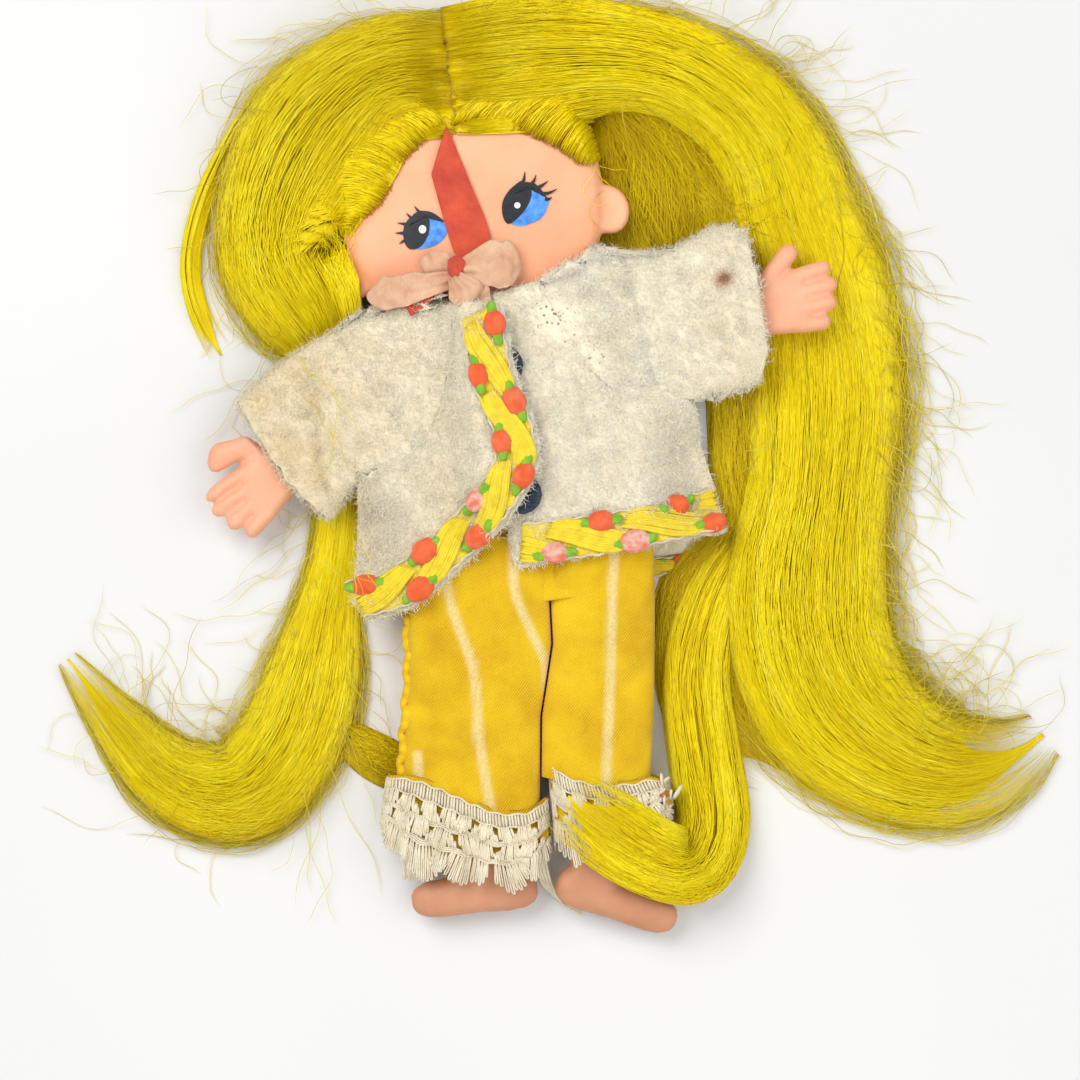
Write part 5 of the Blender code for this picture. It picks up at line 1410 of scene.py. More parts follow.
def make_sleeve(side, seed, half=46, steps=64):
    """Raglan sleeve from the slanted seam to the cuff, split in two halfway down the upper arm, with its gusset
    and underarm.
    """
    lines = SLEEVES[side]
    share = np.linspace(0.0, 1.0, half)
    top = patch(lines["upper"], lines["lower"], lines["seam"], lines["cuff"], steps, share)
    along = np.linspace(0.0, 1.0, steps)
    under = np.stack([np.stack([np.interp(UNDER_FROM + (1 - UNDER_FROM) * along, along, top[:, column, axis])
                                for column in range(half)], axis=1) for axis in (0, 1)], axis=-1)
    bulge = (1.0 - np.abs(2 * share - 1.0) ** 3) ** 0.5
    tube = ARM_MID + SLEEVE_RISE * bulge[None, :] * np.ones((steps, 1))
    sewn = front_level(top, side == "right") + FLEECE
    reach = ease(along / 0.55)[:, None]
    fold = 0.5 * sway(top, 11.0, seed) + 0.28 * sway(top, 5.0, seed + 1)
    crease = along[:, None] - SLEEVE_FOLD + 0.07 * np.cos(math.pi * share)[None, :]
    fold = fold - 0.85 * hump(crease, 0.045) + 0.35 * hump(crease - 0.14, 0.09)
    level = sewn * (1 - reach) + tube * reach + fold * bulge[None, :] * np.minimum(1.0, along * 3.0)[:, None]
    level = np.maximum(level, face_level(top) + 0.5)
    low = np.broadcast_to(ARM_MID - SLEEVE_DROP * bulge[None, :], (steps, half))
    ragged = 0.16 * sway(top, 2.4, seed + 5)[..., None]
    ring = np.concatenate((lifted(top + ragged, level), lifted(under, low)[:, ::-1]), axis=1)
    points, quads = cloth_tube(ring, FLEECE * 0.8)
    way = ARM_WAYS[side]
    middle = ((points[:, :2] - SHOULDERS[side]) @ way)[quads].mean(axis=1)

    def bend(first, second, span):
        return lambda piece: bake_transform(piece)

    upper_arm, forearm = "upper_arm_" + side, "forearm_" + side
    upper = part_of(points, quads, middle < UPPER_ARM / 2)[:2]
    lower = part_of(points, quads, middle >= UPPER_ARM / 2)[:2]
    made, fuzz = fleece_piece("sleeve_%s_shoulder" % side, *upper, 6000, seed + 2,
                              bend("torso", upper_arm, SHOULDER_BEND), (), ARM_MID)
    made, fuzz = fleece_piece("sleeve_%s_cloth" % side, *lower, 8000, seed + 3,
                              bend(upper_arm, forearm, ELBOW_BEND), ("sleeve_" + side,), ARM_MID)
    gusset = make_gusset(side, top[0, share > GUSSET_FROM])
    below = share > UNDERARM_FROM
    underarm = make_underarm(side, top[0, below], np.column_stack((under[2], low[2] + FLEECE))[below])


# Braid, ribbon, trousers and lace

BRAID_PERIOD = 11.8     # length of one S curve
BRAID_INSET = 0.8
BRAID_WIDTH = 5.6
BRAID_YARNS = 10        # side by side in a satin bundle
YARN = 0.29
YARN_STEPS = 26
BERRY_SIZE = np.array((2.1, 1.62, 0.9))
LEAF_SIZE = np.array((1.15, 0.72, 0.6))
LEAF_SHIFTS = (-2.3, 2.2)
BACK_HEM = 35.0         # neck bend to the hem of the jacket's back

# Lines that the braids lie along and, further in, lines that their width runs towards
FRONT_INWARD = [(-14.4, 15.2), (-12.1, 10.4), (-10.8, 5.5), (-9.6, 0.9), (-8.2, -1.2), (-10.1, -3.7),
                (-13.6, -7.4), (-18.4, -12.2), (-23.1, -17.2), (-28.0, -19.8)]
LEFT_HEM = [LEFT_EDGE[-1], (9.4, -17.3), (18.1, -15.6), LEFT_SIDE[-1]]
LEFT_HEM_INWARD = [(-1.4, -8.0), (10.4, -7.0), (18.6, -5.6), (25.4, -3.4)]
BACK_LINES = [(BACK_HEM + 2.7, (25.8, 9.0, -9.0, -25.8)),      # below the neck bend, and to the doll's right
              (BACK_HEM - 4.0, (25.2, 9.0, -9.0, -25.2))]


def blob(centre, ahead, half, seed, rough=0.05, rows=10, columns=16):
    """Small rounded pad of stitches: its points and quads."""
    ahead = np.array((*ahead, 0.0)) / np.linalg.norm(ahead)
    across = np.array((-ahead[1], ahead[0], 0.0))
    down = np.linspace(0.02, math.pi - 0.02, rows)[:, None]
    around = np.linspace(0.0, math.tau, columns, endpoint=False)[None, :]
    ball = np.stack((np.sin(down) * np.cos(around), np.sin(down) * np.sin(around),
                     np.cos(down) * np.ones_like(around)), axis=-1)
    ball = ball * (1.0 + rough * sway(ball, 0.7, seed))[..., None]
    points = (np.array(centre) + ball[..., :1] * half[0] * ahead + ball[..., 1:2] * half[1] * across
              + ball[..., 2:] * half[2] * np.array((0.0, 0.0, 1.0)))
    return points.reshape(-1, 3), grid_faces(rows, columns, closed=True)[:, ::-1]


def joined(parts):
    """Several (points, faces) as one."""
    points, faces, shift = [], [], 0
    for own_points, own_faces in parts:
        points.append(own_points)
        faces.append(own_faces + shift)
        shift += len(own_points)
    return np.vstack(points), np.vstack(faces)


class Band:
    """A strip of jacket along an edge: distance along it, and in from the edge, to places."""

    def __init__(self, edge, inward, level):
        self.outer = spline(edge, 120)
        self.way = unit(spline(inward, 120) - self.outer)
        steps = np.linalg.norm(np.diff(self.outer, axis=0), axis=1)
        self.along = np.concatenate(([0.0], np.cumsum(steps)))
        self.level = level

    def lay(self, along, inset, lift):
        along, inset, lift = np.broadcast_arrays(np.asarray(along, float), inset, lift)
        flat = np.stack([np.interp(along, self.along, self.outer[:, axis])
                         + np.interp(along, self.along, self.way[:, axis]) * inset
                         for axis in (0, 1)], axis=-1)
        return lifted(flat, self.level(flat) + lift)


def make_braid(label, band, node_name, first, pale=(), scale=1.0, inset=BRAID_INSET):
    """Flat braid: a tape, satin bundles crossing it in S curves, berries in the bays, leaves beside them."""
    length = band.along[-1]
    width = BRAID_WIDTH * scale
    share = np.linspace(0.0, 1.0, 13)[None, :]
    along = np.linspace(0.0, length, int(length / 0.5))[:, None]
    tape = band.lay(along, inset + width * share, 0.5 + 0.08 * np.sin(along * 5.0) * np.sin(share * 9.0))
    points, quads = cloth_sheet(tape, np.full(tape.shape[:2], 0.4))
    made = [build("braid_%s_tape" % label, points, quads, TRIM_YELLOW)]
    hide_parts(node_name)
    source = np.random.default_rng(900 + int(length))
    yarns, berries, fades, leaves = [], [], [], []
    inner, outer = inset + width - 1.3 * scale, inset + 1.25 * scale
    steps = np.linspace(0.0, 1.0, YARN_STEPS)
    spread = 1.5 * scale * (0.45 + 0.55 * np.sin(math.pi * np.clip(steps, 0.04, 0.96)) ** 0.5)
    swell = np.sin(math.pi * np.clip(steps, 0.06, 0.94)) ** 0.4
    start = first - BRAID_PERIOD
    index = 0
    while start < length:
        for lane in np.linspace(-1.0, 1.0, BRAID_YARNS):
            aside = inner + (outer - inner) * ease(steps * 1.1 - 0.05) + lane * spread
            lift = 0.62 + 0.42 * math.sqrt(1.0 - 0.7 * lane * lane) * swell
            reach = start + steps * BRAID_PERIOD * 1.06 + lane * 0.5 + source.normal(0.0, 0.12)
            inside = steps[(reach >= 0.0) & (reach <= length)]
            if len(inside) > 4:
                kept = np.linspace(inside[0], inside[-1], len(steps))
                aside = np.interp(kept, steps, aside) + source.normal(0.0, 0.05)
                lift = np.interp(kept, steps, lift) + source.normal(0.0, 0.03)
                yarns.append(band.lay(np.interp(kept, steps, reach), aside, lift))
        for side, offset in ((outer - 0.35 * scale, 0.12), (inner + 0.35 * scale, 0.68)):
            place = start + offset * BRAID_PERIOD + source.normal(0.0, 0.25)
            if 0.6 < place < length - 0.6:
                here = band.lay(place, side, 0.95)
                ahead = (band.lay(place + 0.3, side, 0.0) - band.lay(place - 0.3, side, 0.0))[:2]
                size = BERRY_SIZE * source.uniform(0.9, 1.1) * scale
                berries.append(blob(here, ahead, size, 910 + index, 0.06))
                fade = 1.0 if index in pale else source.uniform(0.0, 0.12)
                fades.append(np.full(len(berries[-1][0]), fade))
                for shift in LEAF_SHIFTS:
                    if 0.3 < place + shift < length - 0.3:
                        leaf = band.lay(place + shift, side + source.normal(0.0, 0.1), 0.85)
                        turned = ahead + np.array((-ahead[1], ahead[0])) * source.uniform(-0.5, 0.5)
                        leaves.append(blob(leaf, turned, LEAF_SIZE * scale, 940 + index, 0.08))
                index += 1
        start += BRAID_PERIOD
    radii = taper(len(yarns), YARN_STEPS, YARN * scale, 950)
    made.append(cord_piece("braid_%s_satin" % label, np.array(yarns), radii, TRIM_YELLOW, 6))
    points, quads = joined(berries)
    made.append(build("braid_%s_berries" % label, points, quads, BERRY, fade=np.concatenate(fades)))
    points, quads = joined(leaves)
    made.append(build("braid_%s_leaves" % label, points, quads, LEAF))
    reach = np.linspace(0.0, length, 160)
    edges = [band.lay(reach, side + 0.12 * np.sin(reach * wave), 0.6)
             for side, wave in ((inset, 2.6), (inset + width, 2.2))]
    made.append(cord_piece("braid_%s_edges" % label, np.array(edges), 0.2, TRIM_TAPE, 5))
    for piece in made:
        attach(piece, "torso")


def make_braids():
    front = Band(RIGHT_EDGE, FRONT_INWARD, lambda flat: front_level(flat, True) + FLEECE)
    make_braid("front", front, "trim_front_right", 1.2, (5,))
    left = Band(LEFT_HEM, LEFT_HEM_INWARD, lambda flat: front_level(flat, False) + FLEECE)
    make_braid("hem", left, "trim_hem_left", 4.0, (0, 2, 6))
    low, high = [[NECK - drop * TRUNK_AHEAD + reach * TRUNK_RIGHT for reach in line]
                 for drop, line in BACK_LINES]
    back = Band(low, high, lambda flat: np.zeros(flat.shape[:-1]))
    make_braid("back", back, "trim_hem_back", 3.0, (), 0.42, 0.0)


# Bow loops: name, start and end in pixels, widths from the knot out, rise, height over the face, seed, solid
BOW_LOOPS = [
    ("bow_loop_left", (462, 272), (520, 264), (2.6, 5.6, 6.8, 6.2), 2.2, 0.5, 47, "ribbon_loop_left"),
    ("bow_loop_right", (458, 281), (370, 299), (2.2, 3.6, 4.8, 4.6), 2.0, 0.3, 147, "ribbon_loop_right"),
    ("bow_fold_upper", (458, 272), (424, 266), (2.0, 4.4, 4.6), 1.0, 0.1, 247, None),
    ("bow_fold_lower", (462, 276), (474, 318), (3.0, 6.2, 6.6), 1.8, 0.5, 347, None),
    ("bow_rosette", (455, 279), (474, 306), (2.2, 4.6, 4.8), 2.8, 1.0, 447, None)]
LONG_END = [((432, 177), (443, 217), (453, 250), (462, 270)),      # in pixels: the edges of the ribbon's ends
            ((447, 127), (470, 184), (490, 238), (476, 268))]
SHORT_END = [((449, 274), (428, 292), (405, 306)), ((458, 284), (436, 301), (412, 318))]
KNOT = (457, 269)       # in pixels, and half its length, width and height
KNOT_HALF = (1.7, 1.3, 1.5)
BOW_ROOT = (466.0, 270.0)       # in pixels: where the bow's height over the face is measured
RIBBON_END = 0.3        # thickness of the ribbon's ends, and of its loops
RIBBON_LOOP = 0.22
RIPPLE = 0.12


def make_strip(name, edges, level, node_name, rows=44, columns=13):
    """Ribbon between two edge lines given in pixels, lying at a level given for each place."""
    left, right = [spline(photo_places(*edge), rows) for edge in edges]
    share = np.linspace(0.0, 1.0, columns)[None, :, None]
    flat = left[:, None] * (1 - share) + right[:, None] * share
    height = level(flat, np.linspace(0.0, 1.0, rows)[:, None], share[..., 0]) + RIPPLE * sway(flat, 5.0, 31)
    points, quads = cloth_sheet(lifted(flat, height), np.full(height.shape, RIBBON_END))
    along = np.repeat(np.linspace(0.0, 16.0, rows)[:, None], columns, axis=1)
    across = np.repeat(share[..., 0] * 5.0, rows, axis=0)
    uv = np.stack((along.ravel(), across.ravel()), axis=-1)
    made = build(name, points, quads, RED_RIBBON, np.vstack((uv, uv)))
    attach(made, "head")
    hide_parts(node_name)


def make_loop(name, start, end, widths, rise, base, seed, node_name, rows=60, columns=17):
    """Bow loop: limp ribbon going out, turning over in a rounded end and coming back, pinched at the knot."""
    turn = np.linspace(0.0, math.tau, rows, endpoint=False)
    reach = 0.5 - 0.5 * np.cos(turn)
    ahead = end - start
    across = np.array((-ahead[1], ahead[0])) / np.linalg.norm(ahead)
    wide = np.interp(reach, np.linspace(0.0, 1.0, len(widths)), widths)
    share = np.linspace(-1.0, 1.0, columns)[None, :]
    rounded = reach[:, None] * (1.0 - 0.16 * np.abs(share) ** 2.5 * reach[:, None])
    flat = start + rounded[..., None] * ahead + (wide[:, None] * share / 2)[..., None] * across
    stray = np.stack((sway(flat, 4.0, seed), sway(flat, 4.0, seed + 1)), axis=-1)
    flat = flat + 0.22 * stray * reach[:, None, None]
    height = base + rise * (0.5 + 0.5 * np.sin(turn + math.pi)[:, None] * (0.35 + 0.65 * reach[:, None]))
    crumple = 0.3 * sway(flat, 3.0, seed + 2) + 0.22 * sway(flat, 1.6, seed + 3)
    pleat = 0.3 * np.cos(share * 7.0) * (1.0 - reach[:, None])
    height = height + crumple * (0.3 + 0.7 * reach[:, None]) + pleat - 0.6 * share ** 2 * reach[:, None]
    outer = lifted(flat, height)
    closed = np.concatenate((outer, outer[:1]), axis=0)
    points, quads = cloth_sheet(closed, np.full(closed.shape[:2], RIBBON_LOOP))
    along = np.repeat(np.linspace(0.0, 20.0, rows + 1)[:, None], columns, axis=1)
    uv = np.stack((along.ravel(), np.repeat((share + 1.0) * 2.5, rows + 1, axis=0).ravel()), axis=-1)
    made = build(name, points, quads, PINK_RIBBON, np.vstack((uv, uv)))
    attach(made, "head")
    if node_name:
        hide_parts(node_name)


def make_bow():
    def on_face(flat, along, across):
        return face_level(flat) + 0.55 + 0.35 * np.sin(math.pi * across) + 0.5 * ease((along - 0.75) * 4.0)

    def hanging(flat, along, _):
        return np.maximum(face_level(flat) + 0.4, (PANEL + FLEECE + 0.9) * ease(along * 2.0))

    make_strip("bow_long_end", LONG_END, on_face, "ribbon_long_end")
    base = float(face_level(photo_place(*BOW_ROOT))) + 0.5
    for name, start, end, widths, rise, lift, seed, node_name in BOW_LOOPS:
        make_loop(name, photo_place(*start), photo_place(*end), widths, rise, base + lift, seed, node_name)
    points, quads = blob((*photo_place(*KNOT), base + 1.7), (0.35, 1.0), KNOT_HALF, 51, 0.08, 20, 28)
    knot = build("bow_knot", points, quads, RED_RIBBON, points[:, :2])
    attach(knot, "head")
    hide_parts("ribbon_knot")
    make_strip("bow_short_end", SHORT_END, hanging, "ribbon_short_end", rows=24)


LEG_TOP = -14.0
LEG_TALL = 3.7           # half the height of a leg
KNEE_CUT = -34.0         # where its cloth is cut in two
HIP_BEND = (-21.5, -29.5)    # along the leg: where the span round the hip starts and ends, and below it that round the knee
KNEE_BEND = (-39.0, -47.0)
RIM_ANGLE = math.radians(55.0)
STRIPE_HALF = 1.05       # half width of a printed stripe, and of its soft edge
STRIPE_EDGE = 0.75
ROLL_SPAN = (-49.0, -25.0)   # rolled seam of the right leg: its ends, its radius, lengths of its puckers
ROLL_RADIUS = 0.72
PUCKERS = (4.6, 2.1)
HEMS = {"right": [(-19.6, -49.4), (-14.0, -51.2), (-8.0, -53.6), (-5.0, -54.6), (1.2, -54.2)],
        "left": [(0.6, -48.8), (9.0, -50.2), (17.6, -49.6)]}
OUTER_EDGES = {"right": [(-18.2, -14.0), (-18.4, -24.0), (-18.3, -34.0), (-19.0, -44.0), (-19.5, -56.0)],
               "left": [(17.2, -14.0), (17.4, -24.0), (17.3, -38.0), (16.8, -48.0), (16.6, -56.0)]}
INSEAM = [(1.8, -14.0), (2.2, -24.0), (2.5, -29.5), (1.7, -35.0), (0.9, -40.0), (0.8, -56.0)]
STRIPES = {"right": [[(-13.4, -14.0), (-12.3, -23.2), (-8.9, -33.4), (-8.0, -43.5), (-6.1, -55.0)],
                     [(-3.2, -14.0), (-2.9, -21.8), (-0.4, -28.0), (1.4, -32.0), (1.7, -36.0)],
                     [(-17.0, -45.6), (-16.6, -55.0)]],
           "left": [[(12.2, -12.0), (11.3, -18.9), (10.9, -34.8), (10.6, -42.0), (10.2, -52.0)]]}


def stripe_share(places, lines):
    """How far each place lies in a printed stripe; 1 in its middle."""
    total = np.zeros(len(places))
    for line in lines:
        away = np.full(len(places), np.inf)
        for point in spline(line, 120):
            away = np.minimum(away, ((places[:, :2] - point) ** 2).sum(axis=1))
        total = np.maximum(total, ease((STRIPE_HALF - np.sqrt(away)) / STRIPE_EDGE))
    return total


def make_leg(side, rows=130, columns=150):
    """Trouser leg from under the jacket to its hem, cut in two at the knee."""
    hem, edge, seam = np.array(HEMS[side]), np.array(OUTER_EDGES[side]), np.array(INSEAM)
    angles = np.linspace(0.0, math.tau, columns, endpoint=False)[None, :]
    across, up = bulged(np.cos(angles), 0.8), bulged(np.sin(angles), 0.5)
    share = np.linspace(0.0, 1.0, rows)[:, None]
    rough_x = np.interp(across, (-1.0, 1.0), (hem[:, 0].min(), hem[:, 0].max()))
    bottom = np.interp(rough_x, hem[:, 0], hem[:, 1])
    along = LEG_TOP + (bottom - LEG_TOP) * share
    outer_x = np.interp(-along, -edge[:, 1], edge[:, 0])
    inner_x = np.interp(-along, -seam[:, 1], seam[:, 0]) + (-0.12 if side == "right" else 0.12)
    x = (outer_x + inner_x) / 2 + np.abs(outer_x - inner_x) / 2 * across
    mid = BODY_MID - (HIPS[side][1] - along) * LEG_SLOPE * (along < HIPS[side][1])
    flat = np.stack((x, along), axis=-1)
    crease = 0.45 * sway(flat * np.array((0.6, 1.0)), 9.0, 61 + len(side))
    crease = crease + 0.2 * sway(flat, 4.2, 67 + len(side))
    if side == "right":
        crease = crease - 0.4 * hump(along + 45.4 + 0.35 * (x + 16.0), 1.1) * hump(x + 15.6, 4.0)
        crease = crease + 0.5 * hump(along + 30.0, 4.5) * hump(x - 0.5, 5.0)
    else:
        crease = crease - 0.45 * hump(along + 37.6, 1.8) * hump(x - 2.0, 3.6) + 0.35 * hump(along + 31.0, 3.5)
    level = mid + LEG_TALL * up + crease * np.clip(up, 0.0, 1.0)
    points, quads = cloth_tube(lifted(flat, level), CLOTH * 0.7)
    uv = np.tile(flat.reshape(-1, 2), (2, 1))
    stripe = stripe_share(points, STRIPES[side]) * (points[:, 2] > BODY_MID - 1.0)
    heights = points[quads].mean(axis=1)[:, 1]
    for name, wanted, bodies, bend in (
            ("trouser_%s_thigh" % side, heights > KNEE_CUT, ("torso", "thigh_" + side), HIP_BEND),
            ("trouser_%s_shin" % side, heights <= KNEE_CUT, ("thigh_" + side, "shin_" + side), KNEE_BEND)):
        own_points, own_quads, used = part_of(points, quads, wanted)
        made = build(name, own_points, own_quads, TROUSER, uv[used], stripe=stripe[used])
        made.data.set_sharp_from_angle(angle=RIM_ANGLE)
        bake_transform(made)
        if "shin" in name:
            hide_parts("trouser_leg_" + side)


def trunk_tube(name, node_name, drops, halves, tall, gather, rows=40, columns=120):
    """Cloth tube round the trunk between two drops below the neck, with small gathers."""
    angles = np.linspace(0.0, math.tau, columns, endpoint=False)[None, :]
    across, up = bulged(np.cos(angles), 0.75), bulged(np.sin(angles), 0.4)
    drop = np.linspace(drops[0], drops[-1], rows)[:, None]
    half = np.interp(drop, drops, halves) + gather * np.sin(angles * 30.0)
    flat = NECK - drop[..., None] * TRUNK_AHEAD + (half * across)[..., None] * TRUNK_RIGHT
    rise = np.interp(drop, drops, tall) + gather * np.sin(angles * 30.0)
    level = BODY_MID + rise * up + 0.08 * sway(flat, 4.0, 77)
    points, quads = cloth_tube(lifted(flat, level), CLOTH * 0.6)
    made = build(name, points, quads, TROUSER, points[:, :2], stripe=np.zeros(len(points)))
    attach(made, "torso")
    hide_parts(node_name)
    return made, points, quads


def seam_roll():
    """Rolled, puckered seam down the outside of the right leg."""
    edge = spline(OUTER_EDGES["right"], 90)
    edge = edge[(edge[:, 1] > ROLL_SPAN[0]) & (edge[:, 1] < ROLL_SPAN[1])]
    pucker = np.sin(edge[:, 1] * math.tau / PUCKERS[0]) + 0.5 * np.sin(edge[:, 1] * math.tau / PUCKERS[1])
    path = np.column_stack((edge[:, 0] - 0.1 + 0.3 * pucker, edge[:, 1], BODY_MID + 0.8 + 0.15 * pucker))
    roll = cord_piece("trouser_seam_roll", path[None], (ROLL_RADIUS + 0.12 * pucker)[None], TROUSER, 12)
    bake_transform(roll)


def make_trousers():
    for side in ("right", "left"):
        make_leg(side)
    seam_roll()
    drops = [share * TRUNK_LENGTH for share in (0.5, 0.62, 0.96)]
    seat = trunk_tube("trouser_seat_cloth", "trousers_seat", drops, (11.9, HIP_HALF + 0.4, HIP_HALF + 2.0),
                      (3.25, 3.25, 2.5), 0.0)
    trunk_tube("trouser_waistband", "waist_elastic", [share * TRUNK_LENGTH for share in (0.455, 0.5)],
               (11.6, 11.7), (3.2, 3.2), 0.12)


LACE_TOPS = {"right": [(-21.6, -49.4), (-18.0, -49.8), (-14.0, -51.2), (-8.0, -53.8), (-5.0, -54.7),
                       (-1.0, -54.5), (2.0, -52.6)],
             "left": [(2.0, -47.6), (4.6, -49.4), (9.0, -50.6), (14.0, -50.4), (17.0, -49.6), (19.4, -50.2)]}
LACE_BOTTOMS = {"right": [(-22.6, -56.6), (-19.0, -62.0), (-14.0, -63.6), (-8.6, -64.6), (-4.0, -65.4),
                          (0.0, -63.6), (2.6, -61.0)],
                "left": [(3.0, -60.4), (6.0, -61.2), (9.6, -61.8), (14.0, -62.0), (18.0, -59.0),
                         (20.4, -54.6)]}

# Rows of lace fans: share down, length (up where negative), spacing, loops, pitch at root and tip, shift
LACE_ROWS = [(0.1, 2.6, 2.9, 6, 0.34, 0.42, 0.5), (0.34, -1.5, 2.9, 4, 0.3, 0.34, 0.0),
             (0.34, 2.7, 3.3, 7, 0.34, 0.44, 0.0), (0.58, -1.5, 3.3, 4, 0.3, 0.34, 0.5),
             (0.58, 4.7, 5.2, 9, 0.44, 0.6, 0.5), (0.6, 3.3, 5.2, 5, 0.4, 0.44, 0.0)]

# Shares down the lace: cords, ground, the header at its top, bands of ground below and half their height
LACE_CORDS = (-0.06, 0.12, 0.32, 0.345, 0.37, 0.57, 0.595, 0.62)
LACE_GROUND = (-0.03, 0.66)
LACE_HEADER = 0.13
LACE_BANDS = (0.35, 0.6)
LACE_BAND_HALF = 0.035

LACE_FRONT = 4.35        # its front and back, from the middle of the leg
LACE_BACK = 3.5
LACE_THREADS = {"loops": 0.135, "header": 0.17, "cords": 0.15}      # radii
LOOSE_THREAD = 0.22
RED_THREAD = 0.12
LACE_STEPS = 160
HEM_UNDER_LACE = 0.62    # share of the lace's height that the trouser cloth runs down behind it


class LaceGround:
    """The gathered surface of a lace cuff: share across it and down it, to places."""

    def __init__(self, side, front, depth=1.0):
        self.top = spline(LACE_TOPS[side], LACE_STEPS)
        self.bottom = spline(LACE_BOTTOMS[side], LACE_STEPS)
        self.width = path_length((self.top + self.bottom) / 2)
        self.height = np.linalg.norm(self.top - self.bottom, axis=1).mean()
        self.front = front
        self.depth = depth
        self.phase = 1.3 if side == "right" else 4.0

    def lay(self, across, down, lift):
        across, down, lift = np.broadcast_arrays(np.asarray(across, float), down, lift)
        steps = np.linspace(0.0, 1.0, LACE_STEPS)
        flat = np.stack([np.interp(across, steps, self.top[:, axis]) * (1 - down)
                         + np.interp(across, steps, self.bottom[:, axis]) * down for axis in (0, 1)], axis=-1)
        middle = BODY_MID - (HIPS["left"][1] - flat[..., 1]) * LEG_SLOPE
        wrap = np.maximum(1.0 - np.abs(2 * across - 1.0) ** 7, 0.0) ** 0.5
        gather = 0.9 * np.sin(across * self.width * 1.05 + self.phase + 1.2 * down) * (0.25 + 0.75 * down)
        gather = gather + 0.4 * np.sin(across * self.width * 2.3 + 2.0 * self.phase) * (0.3 + 0.7 * down)
        gather = gather * self.depth
        if self.front:
            level = middle + (LACE_FRONT + gather + lift) * wrap
        else:
            level = middle - (LACE_BACK + 0.3 * gather - 0.3 * lift) * wrap
        return lifted(flat, level)


def lace_loops(ground, middle, start, count, root, tip, length, source):
    """A fan of narrow thread loops side by side, as paths across and down the lace."""
    steps = np.linspace(0.0, 1.0, 15)
    bend = np.sin(math.pi * np.clip((steps - 0.3) / 0.4, 0.0, 1.0) - math.pi / 2)
    reach = np.clip(1.0 - np.abs(2 * steps - 1.0) * 1.25 + 0.25, 0.0, 1.0) ** 0.7
    slant = source.normal(0.0, 0.16)
    raised = source.uniform(-0.1, 0.45)
    paths = []
    for index in range(count):
        lane = index - (count - 1) / 2
        own = length * source.uniform(0.9, 1.08) * (1.0 - 0.5 * (2 * lane / count) ** 2)
        side = lane * (root + (tip - root) * reach) + 0.3 * tip * bend * reach ** 0.5 + slant * reach * own
        side = side + source.normal(0.0, 0.05)
        down = start + (reach * own + 0.15 * abs(lane) / count) / ground.height
        lift = 0.12 + (0.35 + raised) * np.sin(math.pi * reach * 0.8) + source.normal(0.0, 0.06)
        paths.append(ground.lay(np.clip(middle + side / ground.width, 0.002, 0.998), down, lift))
    return paths


def make_hem(side, front, columns, rows=20):
    """Trouser cloth that runs down behind the lace."""
    down = np.linspace(-0.12, HEM_UNDER_LACE, rows)[:, None]
    across = np.linspace(0.015, 0.985, columns)[None, :]
    sheet = LaceGround(side, front, 0.3).lay(across, down, -0.85 if front else 1.2)
    points, quads = cloth_sheet(sheet, np.full((rows, columns), 0.2))
    name = "trouser_%s_hem_%s" % (side, "front" if front else "back")
    made = build(name, points, quads, TROUSER, points[:, :2], stripe=np.zeros(len(points)))
    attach(made, "shin_" + side)


def make_lace(side, rows=40):
    """Gathered cotton lace: ribbed header, rows of ladder fans with holes, and a deep scalloped edge."""
    source = np.random.default_rng(1000 + len(side))
    for front in (True, False):
        ground = LaceGround(side, front)
        face = "front" if front else "back"
        columns = int(ground.width * 2.6)
        down = np.linspace(*LACE_GROUND, rows)[:, None]
        sheet = ground.lay(np.linspace(0.0, 1.0, columns)[None, :], down, -0.15)
        points, quads = cloth_sheet(sheet, np.full((rows, columns), 0.15))
        row = np.arange(len(quads)) % ((rows - 1) * (columns - 1)) // (columns - 1)
        low = np.interp(row, (0, rows - 2), LACE_GROUND)
        band = low < LACE_HEADER
        for level in LACE_BANDS:
            band = band | (np.abs(low - level) < LACE_BAND_HALF)
        pieces = [build("lace_%s_ground_%s" % (side, face), points, quads[band], LACE)]
        make_hem(side, front, columns)
        loops, stitches = [], []
        for start, length, spacing, count, root, tip, shift in LACE_ROWS:
            fans = max(int(ground.width / spacing), 3)
            for fan in range(fans):
                middle = (fan + shift + source.normal(0.0, 0.07)) / fans
                top = start + source.normal(0.0, 0.015)
                loops += lace_loops(ground, middle, top, count, root, tip, length, source)
        for place in np.arange(0.25, ground.width, 0.5):
            lean = np.linspace(-0.1, 0.1, 5) + source.normal(0.0, 0.04)
            lift = 0.18 + 0.25 * np.sin(np.linspace(0.0, math.pi, 5)) + source.normal(0.0, 0.04)
            across = np.clip((place + lean) / ground.width, 0.0, 1.0)
            stitches.append(ground.lay(across, np.linspace(-0.05, 0.11, 5), lift))
        share = np.linspace(0.0, 1.0, 140)
        cords = [ground.lay(share, level + 0.012 * np.sin(share * ground.width * 2.0 + 9.0 * level), 0.22)
                 for level in LACE_CORDS]
        for part, paths in (("loops", loops), ("header", stitches), ("cords", cords)):
            name = "lace_%s_%s_%s" % (side, part, face)
            pieces.append(cord_piece(name, np.array(paths), LACE_THREADS[part], LACE, 4))
        for piece in pieces:
            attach(piece, "shin_" + side)
        if front:
            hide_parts("lace_cuff_" + side)


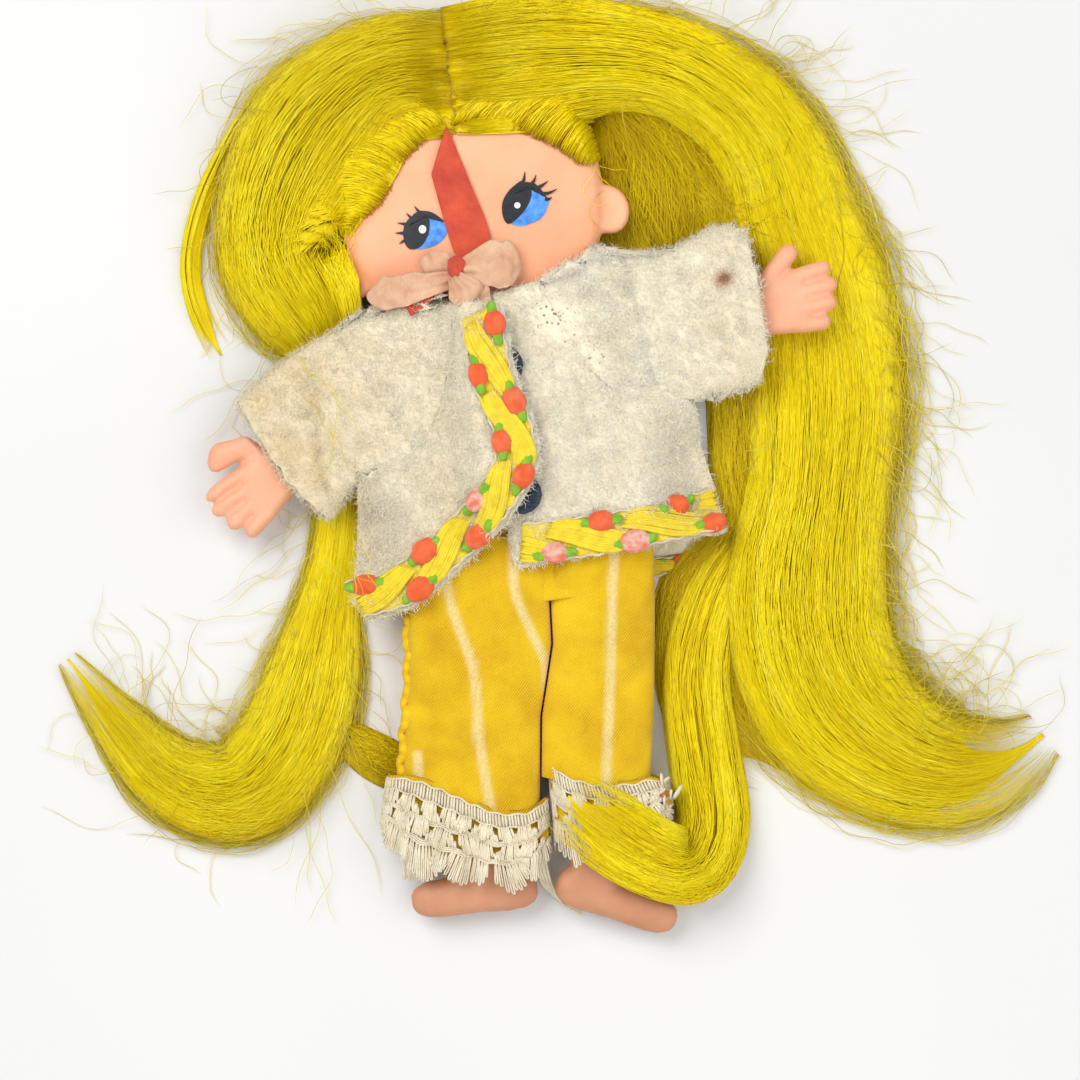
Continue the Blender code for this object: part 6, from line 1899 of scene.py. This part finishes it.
def make_lace_threads():
    """Loose threads: fringe at the right cuff's outer end, bundle between the feet, tuft and red stitch."""
    source = np.random.default_rng(1100)
    ends, bundle, tuft, stitch = [], [], [], []
    for index in range(9):
        start = np.array((-19.6 + 0.42 * index, -56.2 - 0.2 * index, 7.4))
        end = np.array((-18.9 + 0.36 * index, -63.6 + 0.2 * source.normal(), 5.2))
        middle = (start + end) / 2 + np.array((0.3 * source.normal() - 0.3, 0.0, 1.3))
        ends.append(spline([start, middle, end], 18))
    for index in range(4):
        shift = 0.42 * (index - 1.5)
        bundle.append(spline([(0.9 + shift, -61.0, 6.6), (1.5 + shift * 1.1, -64.0, 3.4),
                              (3.2 + shift, -66.8 - shift, 1.0),
                              (6.0 + 0.6 * shift + 0.4 * source.normal(), -68.6 - shift, 0.45)], 24))
    middle = np.array((*photo_place(653.0, 790.0), 8.0))
    turns = np.linspace(0.0, math.tau, 18)[:, None]
    for _ in range(22):
        root = middle + source.normal(0.0, 1.0, 3) * np.array((1.9, 0.9, 0.45))
        tilt = source.uniform(0.0, math.tau)
        along, across = np.array((math.cos(tilt), math.sin(tilt), 0.0)), np.array((0.0, 0.3, 1.0))
        size = source.uniform(0.5, 1.1)
        tuft.append(root + size * (np.cos(turns) * along + 0.8 * np.sin(turns) * across))
    for index in range(3):
        start = np.array((*photo_place(646.0 + 5.0 * index, 800.0 - 2.0 * index), 8.6))
        rows = [start, start + np.array((0.9, 0.5, 0.5)), start + np.array((1.9, 0.3, 0.1))]
        stitch.append(spline(rows, 18))
    for name, paths, radius, look, side in (
            ("lace_fringe", ends, LOOSE_THREAD, LACE, "right"),
            ("lace_loose_threads", bundle, LOOSE_THREAD, LACE, "right"),
            ("lace_tuft", tuft, LOOSE_THREAD, LACE, "left"),
            ("lace_red_stitch", stitch, RED_THREAD, RED_RIBBON, "left")):
        made = cord_piece(name, np.array(paths), radius, look, 5)
        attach(made, "shin_" + side)


def main_pieces():
    make_vinyl()
    make_eyes()
    make_hair()
    make_jacket()
    make_sleeve("right", 730)
    make_sleeve("left", 740)
    make_braids()
    make_bow()
    make_trousers()
    make_lace("right")
    make_lace("left")
    make_lace_threads()


main_pieces()
